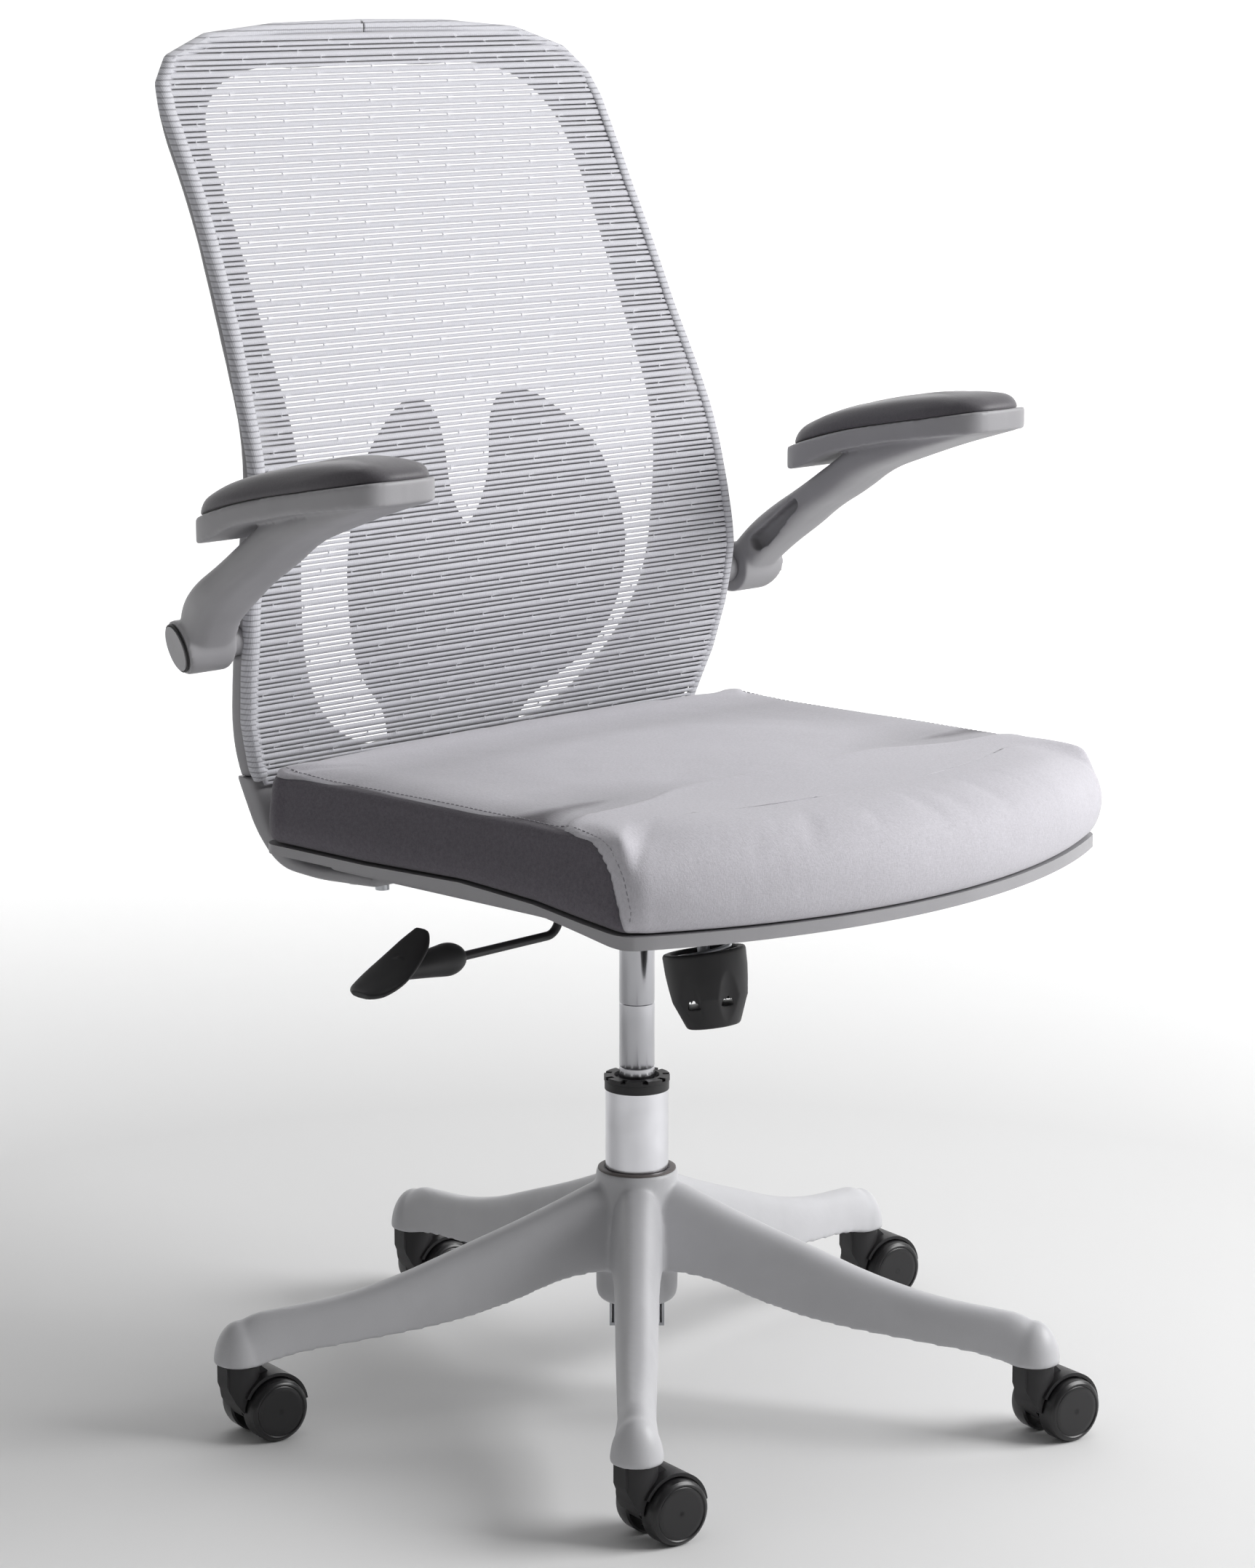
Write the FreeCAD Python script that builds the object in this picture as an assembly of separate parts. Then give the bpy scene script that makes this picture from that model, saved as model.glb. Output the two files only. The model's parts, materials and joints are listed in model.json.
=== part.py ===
import FreeCAD, Part
import os
from math import atan2, copysign, cos, pi, radians, sin

V = FreeCAD.Vector
X_AXIS, Y_AXIS, Z_AXIS = V(1, 0, 0), V(0, 1, 0), V(0, 0, 1)

# Swivel chair with a mesh back. Millimetres; +Z is up, the origin is on the floor under the
# column, the chair faces -Y and the sitter's left is +X.

# ---- driving dimensions ----
# base
STEM_CIRCLE = 325.0          # column axis to castor stem
FRONT_ARM_AZIMUTH = -45.0    # where the base stands at rest, from -Y towards +X
DOME_R, DOME_LOW, DOME_TOP = 20.0, 62.0, 96.0
HUB_R, HUB_TOP, HUB_LOW = 32.5, 191.0, 83.0
BASE_WALL = 3.5
# column
TUBE_R, TUBE_TOP, TUBE_FOOT = 25.0, 256.0, 64.0
LINER_R = 22.5
FOOT_R = 20.0                # reduced foot of the tube below the hub
COLLAR_R = 25.6
CYL_R, CYL_LOW, CYL_TOP = 14.0, 150.0, 422.0
BORE_R = 11.0
ROD_R = 5.0
RUN = 0.05                   # radial clearance of a running fit
# castor
WHEEL_R, WHEEL_IN, WHEEL_OUT = 25.0, 8.8, 26.0
AXLE_R = 4.0
STEM_R = 5.5
TRAIL = 22.0
TRAIL_AZIMUTH = 79.8         # direction in which every castor trails at rest
HOOD_R = 15.5
# mechanism
TILT_Y, TILT_Z = -28.0, 428.0
PIN_R = 5.0
HOUSING_HALF = 54.0
PLATE_LOW, PLATE_T = 445.0, 3.0
LEVER_Y, LEVER_Z, LEVER_R = -5.0, 433.0, 3.5
LEVER_FREE_PLAY = 1.7        # gap between the lever and the release pin at rest
FULCRUM_X = -68.0
KNOB_CENTRE = V(0, -80, 345)
KNOB_LEAN = 11.0             # degrees, the knob's foot leans forward
# seat
SEAT_HALF, SEAT_REAR = 262.0, 145.0
FRONT_CORNER_Y, FRONT_MID_Y = -244.0, -314.0
PAN_LOW = 452.0
SEAT_BOLT_PLACES = [(x, y) for x in (-88, 88) for y in (-98, 98)]
LEG_BOLT_PLACES = [(200, y) for y in (75, 105, 135)]
# arms
PIVOT_Y, PIVOT_Z = 169.0, 626.0
KNUCKLE_R, KNUCKLE_IN, KNUCKLE_OUT = 21.0, 278.0, 318.0
CAP_R, CAP_T = 17.5, 3.0
CAP_BACK, CAP_DOWN = 18.0, 14.0        # degrees, how the knuckle's outer face is canted
BOSS_R, BOSS_IN, BOSS_OUT = 12.0, 255.0, 277.6
ARM_PIN_R = 6.0
PAD_X, PAD_HALF = 317.0, 42.0          # middle of the pad at its rear end
PAD_REAR, PAD_FRONT = 114.0, -95.0
PAD_SPLAY = 0.032            # the pads lean outwards by this much per unit forwards


# ---- helpers ----
def save(shape, node):
    shape.exportStep("parts/%s.step" % node)


def box(x0, x1, y0, y1, z0, z1):
    return Part.makeBox(x1 - x0, y1 - y0, z1 - z0, V(x0, y0, z0))


def cyl(radius, z0, z1, x=0.0, y=0.0):
    return Part.makeCylinder(radius, z1 - z0, V(x, y, z0))


def rod(radius, start, end):
    step = end - start
    return Part.makeCylinder(radius, step.Length, start, step)


def spline(points):
    curve = Part.BSplineCurve()
    curve.interpolate(points)
    return curve.toShape()


def polygon(points):
    return Part.makePolygon(points + [points[0]])


def prism(wire, step):
    return Part.Face(wire).extrude(step)


def turned(profile):
    """Solid of revolution about Z from (radius, z) corners."""
    corners = [V(r, 0, z) for r, z in profile]
    return Part.Face(polygon(corners)).revolve(V(0, 0, 0), Z_AXIS, 360)


def side_prism(points, half, centre=0.0):
    """Prism along X from (y, z) corners."""
    corners = [V(centre - half, y, z) for y, z in points]
    return prism(polygon(corners), V(2 * half, 0, 0))


def spun(shape, angle, axis=Z_AXIS, centre=V(0, 0, 0)):
    turned_copy = shape.copy()
    turned_copy.rotate(centre, axis, angle)
    return turned_copy


def mirrored(shape):
    return shape.mirror(V(0, 0, 0), X_AXIS)


def fuse(shapes):
    whole = shapes[0]
    for shape in shapes[1:]:
        whole = whole.fuse(shape)
    return whole.removeSplitter()


def group(shapes):
    return Part.makeCompound(shapes)


def between(value, table):
    """Straight-line reading of a sorted (key, value) table."""
    for (k0, v0), (k1, v1) in zip(table, table[1:]):
        if value <= k1:
            share = max(0.0, (value - k0) / (k1 - k0))
            return v0 + share * (v1 - v0)
    return table[-1][1]


def superellipse(half_a, half_b, power, count=24):
    """Closed rounded-rectangle points (a, b)."""
    points = []
    for i in range(count):
        turn = 2 * pi * i / count
        c, s = cos(turn), sin(turn)
        a = half_a * copysign(abs(c) ** (2 / power), c)
        b = half_b * copysign(abs(s) ** (2 / power), s)
        points.append((a, b))
    return points


def ring_wire(points):
    """Smooth closed wire in four edges, split at the quarter points."""
    quarter = len(points) // 4
    closed = points + [points[0]]
    return Part.Wire([spline(closed[i * quarter:(i + 1) * quarter + 1]) for i in range(4)])


def loft(wires):
    """Smooth solid through the wires; the low degree keeps it from swinging out between them."""
    solid, ruled, closed, degree = True, False, False, 2
    return Part.makeLoft(wires, solid, ruled, closed, degree)


def beam(stations, power=4.0):
    """Loft of rounded sections: each station is (centre, half vector a, half vector b)."""
    wires = []
    for centre, a_vec, b_vec in stations:
        loop = [centre + a_vec * a + b_vec * b for a, b in superellipse(1, 1, power)]
        wires.append(ring_wire(loop))
    return loft(wires)


# ---- five-arm base ----
# distance out, half width, underside z, crest z, squareness of the section
ARM_STATIONS = [
    (20, 22.0, 113.5, 185.5, 3.0), (45, 19.5, 112.0, 177.0, 3.0), (75, 17.8, 106.0, 164.5, 3.0),
    (110, 17.0, 94.0, 151.0, 3.0), (150, 16.5, 84.0, 136.5, 3.0), (195, 15.8, 77.5, 120.5, 3.0),
    (240, 15.0, 73.0, 109.0, 3.0), (283, 14.6, 68.5, 103.5, 2.7), (306, 16.4, 64.5, 101.5, 2.3),
    (STEM_CIRCLE, DOME_R - 1.3, DOME_LOW + 0.9, DOME_TOP - 1.4, 2.0)]
ARCH_POINTS = 12


def arm_wire(out, half, low, top, power):
    arch = []
    for i in range(ARCH_POINTS + 1):
        turn = pi * i / ARCH_POINTS
        c, s = cos(turn), sin(turn)
        y = half * copysign(abs(c) ** (2 / power), c)
        z = low + (top - low) * abs(s) ** (2 / power)
        arch.append(V(out, y, z))
    return Part.Wire([spline(arch), Part.makeLine(arch[-1], arch[0])])


def arm_loft(shrink, first, last):
    wires = []
    for out, half, low, top, power in ARM_STATIONS[first:last]:
        wires.append(arm_wire(out, half - shrink, low - 2 * (shrink > 0), top - shrink, power))
    return loft(wires)


def dome():
    quarter = []
    for i in range(9):
        turn = pi / 2 * i / 8
        quarter.append(V(DOME_R * cos(turn), 0, DOME_LOW + (DOME_TOP - DOME_LOW) * sin(turn)))
    wire = Part.Wire([spline(quarter), Part.makeLine(quarter[-1], V(0, 0, DOME_LOW)),
                      Part.makeLine(V(0, 0, DOME_LOW), quarter[0])])
    solid = Part.Face(wire).revolve(V(0, 0, 0), Z_AXIS, 360)
    return solid.translated(V(STEM_CIRCLE, 0, 0))


def base_azimuths():
    return [FRONT_ARM_AZIMUTH + 72 * i for i in range(5)]


def make_star_base():
    outer = arm_loft(0, 0, 10)
    hollow = arm_loft(BASE_WALL, 1, 8)
    ribs = [box(x, x + 2.5, -16, 16, 60, 170) for x in (95, 140, 185, 230)]
    arm = outer.cut(hollow).fuse(group(ribs).common(outer)).fuse(dome())
    arms = [spun(arm, azimuth - 90) for azimuth in base_azimuths()]
    hub = turned([(0, HUB_LOW), (HUB_R - 5, HUB_LOW), (HUB_R - 1.5, HUB_LOW + 3), (HUB_R, HUB_LOW + 9),
                  (HUB_R, HUB_TOP - 1), (HUB_R - 1, HUB_TOP), (0, HUB_TOP)])
    body = fuse([hub] + arms)
    body = body.cut(cyl(TUBE_R, HUB_LOW - 1, HUB_TOP + 1))
    return body.cut(group([stem_blank(azimuth, STEM_R, DOME_LOW + 25) for azimuth in base_azimuths()]))


def stem_place(azimuth):
    turn = radians(azimuth)
    return V(STEM_CIRCLE * sin(turn), -STEM_CIRCLE * cos(turn), 0)


def stem_blank(azimuth, radius, top):
    place = stem_place(azimuth)
    return cyl(radius, DOME_LOW - 14, top, place.x, place.y)


# ---- column ----
def make_column_tube():
    wall = TUBE_R - LINER_R
    return turned([(5.8, TUBE_FOOT), (FOOT_R, TUBE_FOOT), (FOOT_R, 82), (TUBE_R, 88), (TUBE_R, TUBE_TOP),
                   (LINER_R, TUBE_TOP), (LINER_R, 92), (FOOT_R - wall, 87), (FOOT_R - wall, 68), (5.8, 68)])


def make_column_guide():
    body = turned([(CYL_R + RUN, 176), (LINER_R, 176), (LINER_R, TUBE_TOP), (COLLAR_R, TUBE_TOP),
                   (COLLAR_R, 262.5), (COLLAR_R + 0.5, 263), (COLLAR_R + 0.5, 267), (18, 267), (17, 264),
                   (CYL_R + RUN, 264)])
    notch = box(20.5, 29, -2.2, 2.2, 264.8, 268)
    return body.cut(group([spun(notch, 40 * i) for i in range(9)]))


def make_retaining_clip():
    plate = turned([(4.6, 61.2), (13, 61.2), (13, 63.6), (4.6, 63.6)])
    ear_out = FOOT_R + 1.8
    strap = box(-ear_out, ear_out, -6, 6, 61.2, 63.6).cut(cyl(12, 60, 65))
    ear = box(FOOT_R + 0.2, ear_out, -6, 6, 61.2, 79).cut(rod(1.6, V(18, 0, 73), V(26, 0, 73)))
    return spun(fuse([plate, strap, ear, spun(ear, 180)]), -45)


def make_thrust_bearing():
    low = turned([(6, 68), (15, 68), (15, 69.2), (6, 69.2)])
    high = turned([(6, 73.2), (15, 73.2), (15, 74.4), (6, 74.4)])
    ball = Part.makeSphere(2.0, V(10.5, 0, 71.2))
    balls = [spun(ball, 36 * i) for i in range(10)]
    return group([low, high] + balls)


def make_piston_rod():
    return turned([(0, 58.5), (ROD_R, 58.5), (ROD_R, 61), (4.5, 61), (4.5, 63.8), (ROD_R, 63.8),
                   (ROD_R, 74.5), (9, 74.5), (9, 77), (ROD_R, 77), (ROD_R, 212), (BORE_R - RUN, 212),
                   (BORE_R - RUN, 224), (0, 224)])


def make_gas_cylinder():
    outside = [(ROD_R + RUN, CYL_LOW), (CYL_R, CYL_LOW)]
    for ring in (274, 326):
        outside += [(CYL_R, ring - 0.4), (CYL_R - 0.4, ring), (CYL_R, ring + 0.8)]
    outside += [(CYL_R, 398), (CYL_R - 0.8, CYL_TOP), (0, CYL_TOP)]
    body = turned(outside + [(0, 396), (BORE_R, 396), (BORE_R, 162), (ROD_R + RUN, 162)])
    return body.cut(cyl(4 + RUN, 402, CYL_TOP + 1))


# ---- castors ----
def castor_frame(shape, azimuth):
    """Put a castor, drawn trailing to +X about Z, under the arm at this azimuth."""
    return spun(shape, TRAIL_AZIMUTH - 90).translated(stem_place(azimuth))


def make_caster_hood():
    web_half = 7.8
    flank = [(-HOOD_R, DOME_LOW - 0.4), (-HOOD_R, 47), (-10, 33), (-1, 20), (8, 14), (22, 12.5), (32, 17),
             (34, 25), (34, 42), (12, DOME_LOW - 0.4)]
    outline = prism(polygon([V(x, -30, z) for x, z in flank]), V(0, 60, 0))
    neck = cyl(HOOD_R, 10, DOME_LOW - 0.4).common(outline)
    web = outline.common(box(-HOOD_R, 40, -web_half, web_half, 0, 70))
    web = web.common(Part.makeBox(80, 60, 80, V(-HOOD_R, -30, 0)))
    centre = V(TRAIL, 0, WHEEL_R)
    blank = Part.makeCylinder(WHEEL_R + 3.8, 36, centre + V(0, -18, 0), Y_AXIS)
    hollow = Part.makeCylinder(WHEEL_R + 1.2, 60, centre + V(0, -30, 0), Y_AXIS)
    open_front = prism(polygon([centre + V(0, -31, 0), centre + V(60, -31, 8), centre + V(60, -31, -60),
                                centre + V(-60, -31, -60), centre + V(-60, -31, 30)]), V(0, 62, 0))
    fender = blank.cut(hollow).cut(open_front)
    body = fuse([neck, web, fender])
    for side in (-1, 1):
        start = centre + V(0, side * (web_half + 0.2), 0)
        body = body.cut(Part.makeCylinder(WHEEL_R + 1.2, 30, start, V(0, side, 0)))
    body = body.cut(cyl(STEM_R + RUN, 40, 70))
    return body.cut(Part.makeCylinder(AXLE_R, 60, centre + V(0, -30, 0), Y_AXIS))


def make_caster_wheel(side):
    r = WHEEL_R
    profile = [(AXLE_R + RUN, WHEEL_IN), (10, WHEEL_IN), (10, 15), (20, 15), (20, WHEEL_IN),
               (r - 1.5, WHEEL_IN), (r, WHEEL_IN + 1.5), (r, WHEEL_OUT - 5), (r - 0.9, WHEEL_OUT - 2),
               (r - 3, WHEEL_OUT - 0.2),
               (r - 4.2, WHEEL_OUT), (r - 5, WHEEL_OUT - 0.7), (r - 5.8, WHEEL_OUT - 0.2), (0, WHEEL_OUT),
               (0, 23.2), (AXLE_R + RUN, 23.2)]
    wheel = turned(profile)
    wheel = spun(wheel, -90 * side, X_AXIS)
    return wheel.translated(V(TRAIL, 0, WHEEL_R))


def make_caster_axle():
    return Part.makeCylinder(AXLE_R, 46, V(TRAIL, -23, WHEEL_R), Y_AXIS)


def make_caster_stems():
    stems = []
    for azimuth in base_azimuths():
        place = stem_place(azimuth)
        stems.append(cyl(STEM_R, DOME_LOW - 19, DOME_LOW + 22, place.x, place.y))
    return group(stems)


# ---- tilt mechanism ----
def knob_axis():
    lean = radians(KNOB_LEAN)
    return V(0, sin(lean), cos(lean))


def along_knob(shape):
    """Stand a shape drawn about Z, with z = 0 at the knob's middle, on the knob's axis."""
    return spun(shape, -KNOB_LEAN, X_AXIS).translated(KNOB_CENTRE)


def make_tilt_housing():
    outside = [(-98, 407), (-60, 407), (-48, 398), (46, 398), (46, 412), (-14, 436), (-98, 436)]
    inside = [(-95, 410), (-58.5, 410), (-46.5, 401), (43, 401), (43, 450), (-95, 450)]
    body = side_prism(outside, HOUSING_HALF).cut(side_prism(inside, HOUSING_HALF - 3))
    boss = cyl(20, 398, 420)
    pin_bosses = [Part.makeCylinder(9, 8, V(side * HOUSING_HALF, TILT_Y, TILT_Z), V(-side, 0, 0))
                  for side in (-1, 1)]
    trimmed = [boss_disc.common(box(-60, 60, -60, 0, 398, 436)) for boss_disc in pin_bosses]
    body = fuse([body, boss] + trimmed)
    seat_taper = turned([(0, 390), (CYL_R, 390), (CYL_R, 398), (CYL_R - 0.8, CYL_TOP), (0, CYL_TOP)])
    pin_hole = rod(PIN_R + RUN, V(-60, TILT_Y, TILT_Z), V(60, TILT_Y, TILT_Z))
    lever_gate = box(-60, -48, LEVER_Y - 7, LEVER_Y + 7, 424, 450)
    bolt_slot = box(-7, 7, -84, -58, 405, 412)
    bar_slots = box(-60, 60, 29.7, 40.3, 405.7, 412.3)
    return body.cut(group([seat_taper, pin_hole, lever_gate, bolt_slot, bar_slots]))


def make_release_pin():
    top = LEVER_Z - LEVER_R - LEVER_FREE_PLAY
    return turned([(0, 408), (4, 408), (4, top), (0, top)])


def make_lock_bar():
    bar = box(-64, 42, 30, 40, 406, 412)
    link = box(-64, -60, LEVER_Y - 9, 40, 406, 438)
    link = link.cut(box(-70, -58, LEVER_Y - 5, LEVER_Y + 5, 426, 450))
    link = link.cut(box(-70, -58, 9, 41, 422, 450))
    ears = [box(-74, -60, LEVER_Y + low, LEVER_Y + low + 3, 424, 438) for low in (-9, 6)]
    pin_hole = rod(2.5, V(FULCRUM_X, -30, LEVER_Z), V(FULCRUM_X, 20, LEVER_Z))
    return fuse([bar, link] + ears).cut(pin_hole)


def make_lever_pin():
    return rod(2.5, V(FULCRUM_X, LEVER_Y - 10, LEVER_Z), V(FULCRUM_X, LEVER_Y + 10, LEVER_Z))


def bent_rod(points, radius, bend):
    """Round rod along straight runs joined by tangent arcs of the given radius."""
    edges = []
    start = points[0]
    for before, corner, after in zip(points, points[1:], points[2:]):
        back = (before - corner).normalize()
        ahead = (after - corner).normalize()
        half_turn = (pi - back.getAngle(ahead)) / 2
        reach = bend * sin(half_turn) / cos(half_turn)
        enter, leave = corner + back * reach, corner + ahead * reach
        middle = (back + ahead).normalize()
        mid_point = corner + middle * (bend / cos(half_turn) - bend)
        edges.append(Part.makeLine(start, enter))
        edges.append(Part.Arc(enter, mid_point, leave).toShape())
        start = leave
    edges.append(Part.makeLine(start, points[-1]))
    section = Part.Wire([Part.makeCircle(radius, points[0], points[1] - points[0])])
    return Part.Wire(edges).makePipeShell([section], True, True)


def make_lift_lever():
    low_z = 397.0
    route = [V(28, LEVER_Y, LEVER_Z), V(-90, LEVER_Y, LEVER_Z), V(-90, LEVER_Y, low_z),
             V(-240, LEVER_Y, low_z - 2)]
    lever = bent_rod(route, LEVER_R, 13.0)
    eye = Part.makeCylinder(4.6, 9.0, V(FULCRUM_X, LEVER_Y - 4.5, LEVER_Z), Y_AXIS)
    return lever.fuse(eye).cut(rod(2.5 + RUN, V(FULCRUM_X, -30, LEVER_Z), V(FULCRUM_X, 20, LEVER_Z)))


def make_lever_paddle():
    """Moulded grip: a round sleeve on the rod and a tilted, dished finger plate at its end."""
    sleeve = beam([(V(-194, LEVER_Y, 396), V(0, 8, 0), V(0, 0, 8)),
                   (V(-198, LEVER_Y, 396), V(0, 10.5, 0), V(0, 0, 10.5)),
                   (V(-225, LEVER_Y, 396), V(0, 11, 0), V(0, 0, 11)),
                   (V(-256, LEVER_Y, 397), V(0, 11, 0), V(0, 0, 9))], 2.0)
    lean = atan2(38.0, 70.0)
    along, across = V(cos(lean), 0, sin(lean)), V(-sin(lean), 0, cos(lean))
    middle, half_length = V(-262, LEVER_Y, 401), 37.0
    plate = []
    for share, half_width, lift in ((-1.0, 9, 0), (-0.85, 17, -2), (-0.4, 22, -4), (0.2, 20, -3),
                                    (0.7, 15, 0), (1.0, 7, 4)):
        centre = middle + along * (half_length * share) + across * lift
        plate.append((centre, V(0, half_width, 0), across * 3.2))
    body = fuse([beam(plate, 3.0), sleeve])
    return body.cut(bore_for_rod())


def bore_for_rod():
    return rod(LEVER_R, V(-180, LEVER_Y, 395.8), V(-240, LEVER_Y, 395))


def make_tension_bolt():
    shaft = cyl(PIN_R, -18, 109)
    head = box(-10, 10, -74, -48, PLATE_LOW + PLATE_T, PLATE_LOW + PLATE_T + 3.5)
    inside_head = along_knob(shaft).cut(box(-20, 20, -90, -30, 451.5, 470))
    return fuse([inside_head, head])


def make_tension_spring():
    coil_r, wire_r, pitch, height = 20.0, 2.3, 10.5, 56.0
    helix = Part.makeHelix(pitch, height, coil_r)
    section = Part.Wire([Part.makeCircle(wire_r, V(coil_r, 0, 0), V(0, 1, 0))])
    coil = Part.Wire(helix.Edges).makePipeShell([section], True, True)
    return along_knob(coil.translated(V(0, 0, -3.5)))


def make_tension_knob():
    """Cup-shaped hand knob: six finger scoops below, hollow above for the spring."""
    body = turned([(0, -24), (19.5, -24), (21, -23), (31, -1), (32, 12), (32.7, 34), (31.7, 36), (0, 36)])
    scoop_foot = V(38, 0, -27)
    scoop = spun(Part.makeCylinder(17, 60, scoop_foot, Z_AXIS), 14, Y_AXIS, scoop_foot)
    for i in range(6):
        body = body.cut(spun(scoop, 60 * i + 15))
    body = body.cut(cyl(26.5, -7, 40)).cut(cyl(PIN_R + RUN, -19, 40))
    return along_knob(body)


def make_tilt_pin():
    heads = [rod(7.5, V(side * 59.2, TILT_Y, TILT_Z), V(side * 62, TILT_Y, TILT_Z)) for side in (-1, 1)]
    return fuse([rod(PIN_R, V(-62, TILT_Y, TILT_Z), V(62, TILT_Y, TILT_Z))] + heads)


def make_seat_plate():
    plate = box(-104, 104, -112, 112, PLATE_LOW, PLATE_LOW + PLATE_T)
    window = box(-55.5, 55.5, -22, 56, PLATE_LOW - 1, PLATE_LOW + PLATE_T + 1)
    lever_way = box(-95, -50, LEVER_Y - 12, LEVER_Y + 12, PLATE_LOW - 1, PLATE_LOW + PLATE_T + 1)
    flanges = [box(x, x + 3, -46, -12, 418, PLATE_LOW) for x in (-59, 56)]
    holes = [rod(PIN_R, V(-70, TILT_Y, TILT_Z), V(70, TILT_Y, TILT_Z)),
             along_knob(cyl(PIN_R, 60, 115))]
    holes += [cyl(4, PLATE_LOW - 1, PLATE_LOW + PLATE_T + 1, x, y) for x, y in SEAT_BOLT_PLACES]
    return fuse([plate] + flanges).cut(group([window, lever_way])).cut(group(holes))


# ---- seat ----
def seat_outline(inset, z, nose=0.0):
    """Plan of the seat: straight sides, bowed front, gently bowed rear, rounded corners."""
    half, rear = SEAT_HALF - inset, SEAT_REAR - inset
    corner, front = FRONT_CORNER_Y + inset - nose, FRONT_MID_Y + inset - nose
    right = [V(half, rear - 16, z), V(half, corner + 16, z)]
    bow = [V(half - 9, corner - 8, z), V(half * 0.5, front + 16, z), V(0, front, z),
           V(-half * 0.5, front + 16, z), V(-half + 9, corner - 8, z)]
    edges = [Part.makeLine(right[0], right[1]),
             spline([right[1], V(half - 2.2, corner + 2, z), bow[0]]),
             spline(bow),
             spline([bow[-1], V(-half + 2.2, corner + 2, z), V(-half, corner + 16, z)]),
             Part.makeLine(V(-half, corner + 16, z), V(-half, rear - 16, z)),
             Part.Arc(V(-half, rear - 16, z), V(4.7 - half, rear - 4.7, z), V(16 - half, rear, z)).toShape(),
             Part.Arc(V(16 - half, rear, z), V(0, rear + 14, z), V(half - 16, rear, z)).toShape(),
             Part.Arc(V(half - 16, rear, z), V(half - 4.7, rear - 4.7, z), right[0]).toShape()]
    return Part.Wire(edges)


RIM_TOP = [(170, 472), (27, 472), (-79, 475), (-156, 471), (-205, 465), (-245, 461), (-330, 459)]
RIM_LOW = [(-330, 450), (-245, 451), (-205, 457.5), (-170, 463), (-79, 465), (170, 464.5)]
CROWN = [(-336, 484), (-320, 502), (-290, 515), (-255, 523), (-200, 528), (-60, 528.5), (60, 529),
         (125, 526), (170, 518)]


def make_seat_pan():
    band = side_prism(RIM_TOP + RIM_LOW, 300).common(prism(seat_outline(0, 440), V(0, 0, 60)))
    dish = prism(seat_outline(34, PAN_LOW), V(0, 0, 14.5))
    pocket = prism(seat_outline(40, PAN_LOW + 4), V(0, 0, 40))
    body = fuse([band, dish]).cut(pocket)
    spacers = [cyl(12, PLATE_LOW + PLATE_T, PAN_LOW + 1, x, y) for x, y in SEAT_BOLT_PLACES]
    body = fuse([body] + spacers)
    holes = [cyl(3, PLATE_LOW, PAN_LOW + 10, x, y) for x, y in SEAT_BOLT_PLACES]
    holes += [cyl(3, PAN_LOW - 1, PAN_LOW + 10, side * x, y)
              for side in (-1, 1) for x, y in LEG_BOLT_PLACES]
    return body.cut(group(holes))


def make_seat_board():
    board = prism(seat_outline(42, PAN_LOW + 4), V(0, 0, 9))
    holes = [cyl(3, PAN_LOW, PAN_LOW + 20, x, y) for x, y in SEAT_BOLT_PLACES]
    return board.cut(group(holes))


def make_seat_cushion():
    block = prism(seat_outline(1.5, 440, nose=9.0), V(0, 0, 120))
    lower = [(y, z + 0.3) for y, z in RIM_TOP]
    foam = side_prism(lower + CROWN, 300).common(block)
    core = prism(seat_outline(42.5, PAN_LOW + 13), V(0, 0, 25))
    return fuse([foam, core]).cut(make_seat_pan()).cut(make_seat_board())


def make_seat_bolts():
    bolts = []
    for x, y in SEAT_BOLT_PLACES:
        head = cyl(6.5, PLATE_LOW - 4, PLATE_LOW, x, y)
        bolts.append(fuse([cyl(3, PLATE_LOW - 4, PAN_LOW + 12, x, y), head]))
    return group(bolts)


# ---- back ----
# height, front surface of the mesh at the side edges (y), half width of the back
BACK_LINE = [(480, 178), (520, 172), (560, 164), (600, 155), (650, 147), (700, 150), (750, 156), (800, 173),
             (850, 194), (900, 215), (950, 238), (1000, 264), (1040, 285), (1060, 293), (1090, 305)]
BACK_HALF = [(480, 228), (520, 242), (560, 256), (600, 262), (650, 265), (700, 259), (750, 251), (800, 246),
             (850, 240), (950, 234), (1020, 234), (1060, 232), (1090, 232)]


def mesh_y(x, z):
    """Front face of the stretched mesh: a vertical sweep that sinks a little at mid width."""
    depth = max(0.0, 10 * (z - 520) / 563)
    share = min(1.0, abs(x) / between(z, BACK_HALF))
    return between(z, BACK_LINE) + depth * (1 - share * share)


# outer edge (x, z), inner edge (x, z), how far each lies behind the mesh's face, thickness
FRAME_STATIONS = [
    (0, 1083, 0, 1050, 9, 12, 13), (100, 1081, 96, 1049, 9, 12, 13), (165, 1074, 141, 1044, 9, 13, 13),
    (207, 1058, 170, 1030, 9, 14, 14), (228.5, 1034, 186, 1012, 9, 15, 14),
    (234.5, 1003, 193, 990, 9, 15.5, 14), (234.5, 950, 195, 950, 9, 15.5, 15),
    (240, 850, 196, 850, 9.5, 16, 16), (251, 750, 196, 750, 10, 18, 18),
    (261, 690, 195, 690, 11, 25, 19), (265, 640, 192, 643, 12, 31, 20), (262, 600, 183, 606, 13, 33, 20),
    (256, 560, 163, 568, 13, 37, 20), (247, 530, 136, 540, 14, 41, 19), (226, 500, 104, 522, 24, 44, 17),
    (150, 487, 80, 516, 38, 45, 16), (0, 484, 0, 515, 44, 46, 16)]


def frame_station(row):
    out_x, out_z, in_x, in_z, out_back, in_back, thick = row
    outer = V(out_x, mesh_y(out_x, out_z) + out_back, out_z)
    inner = V(in_x, mesh_y(in_x, in_z) + in_back, in_z)
    across = (outer - inner) * 0.5
    run = V(-across.z, 0, across.x)
    normal = across.cross(run).normalize() * (thick / 2)
    return (outer + inner) * 0.5, across, normal


LEG_SEAM = 513.0


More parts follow.
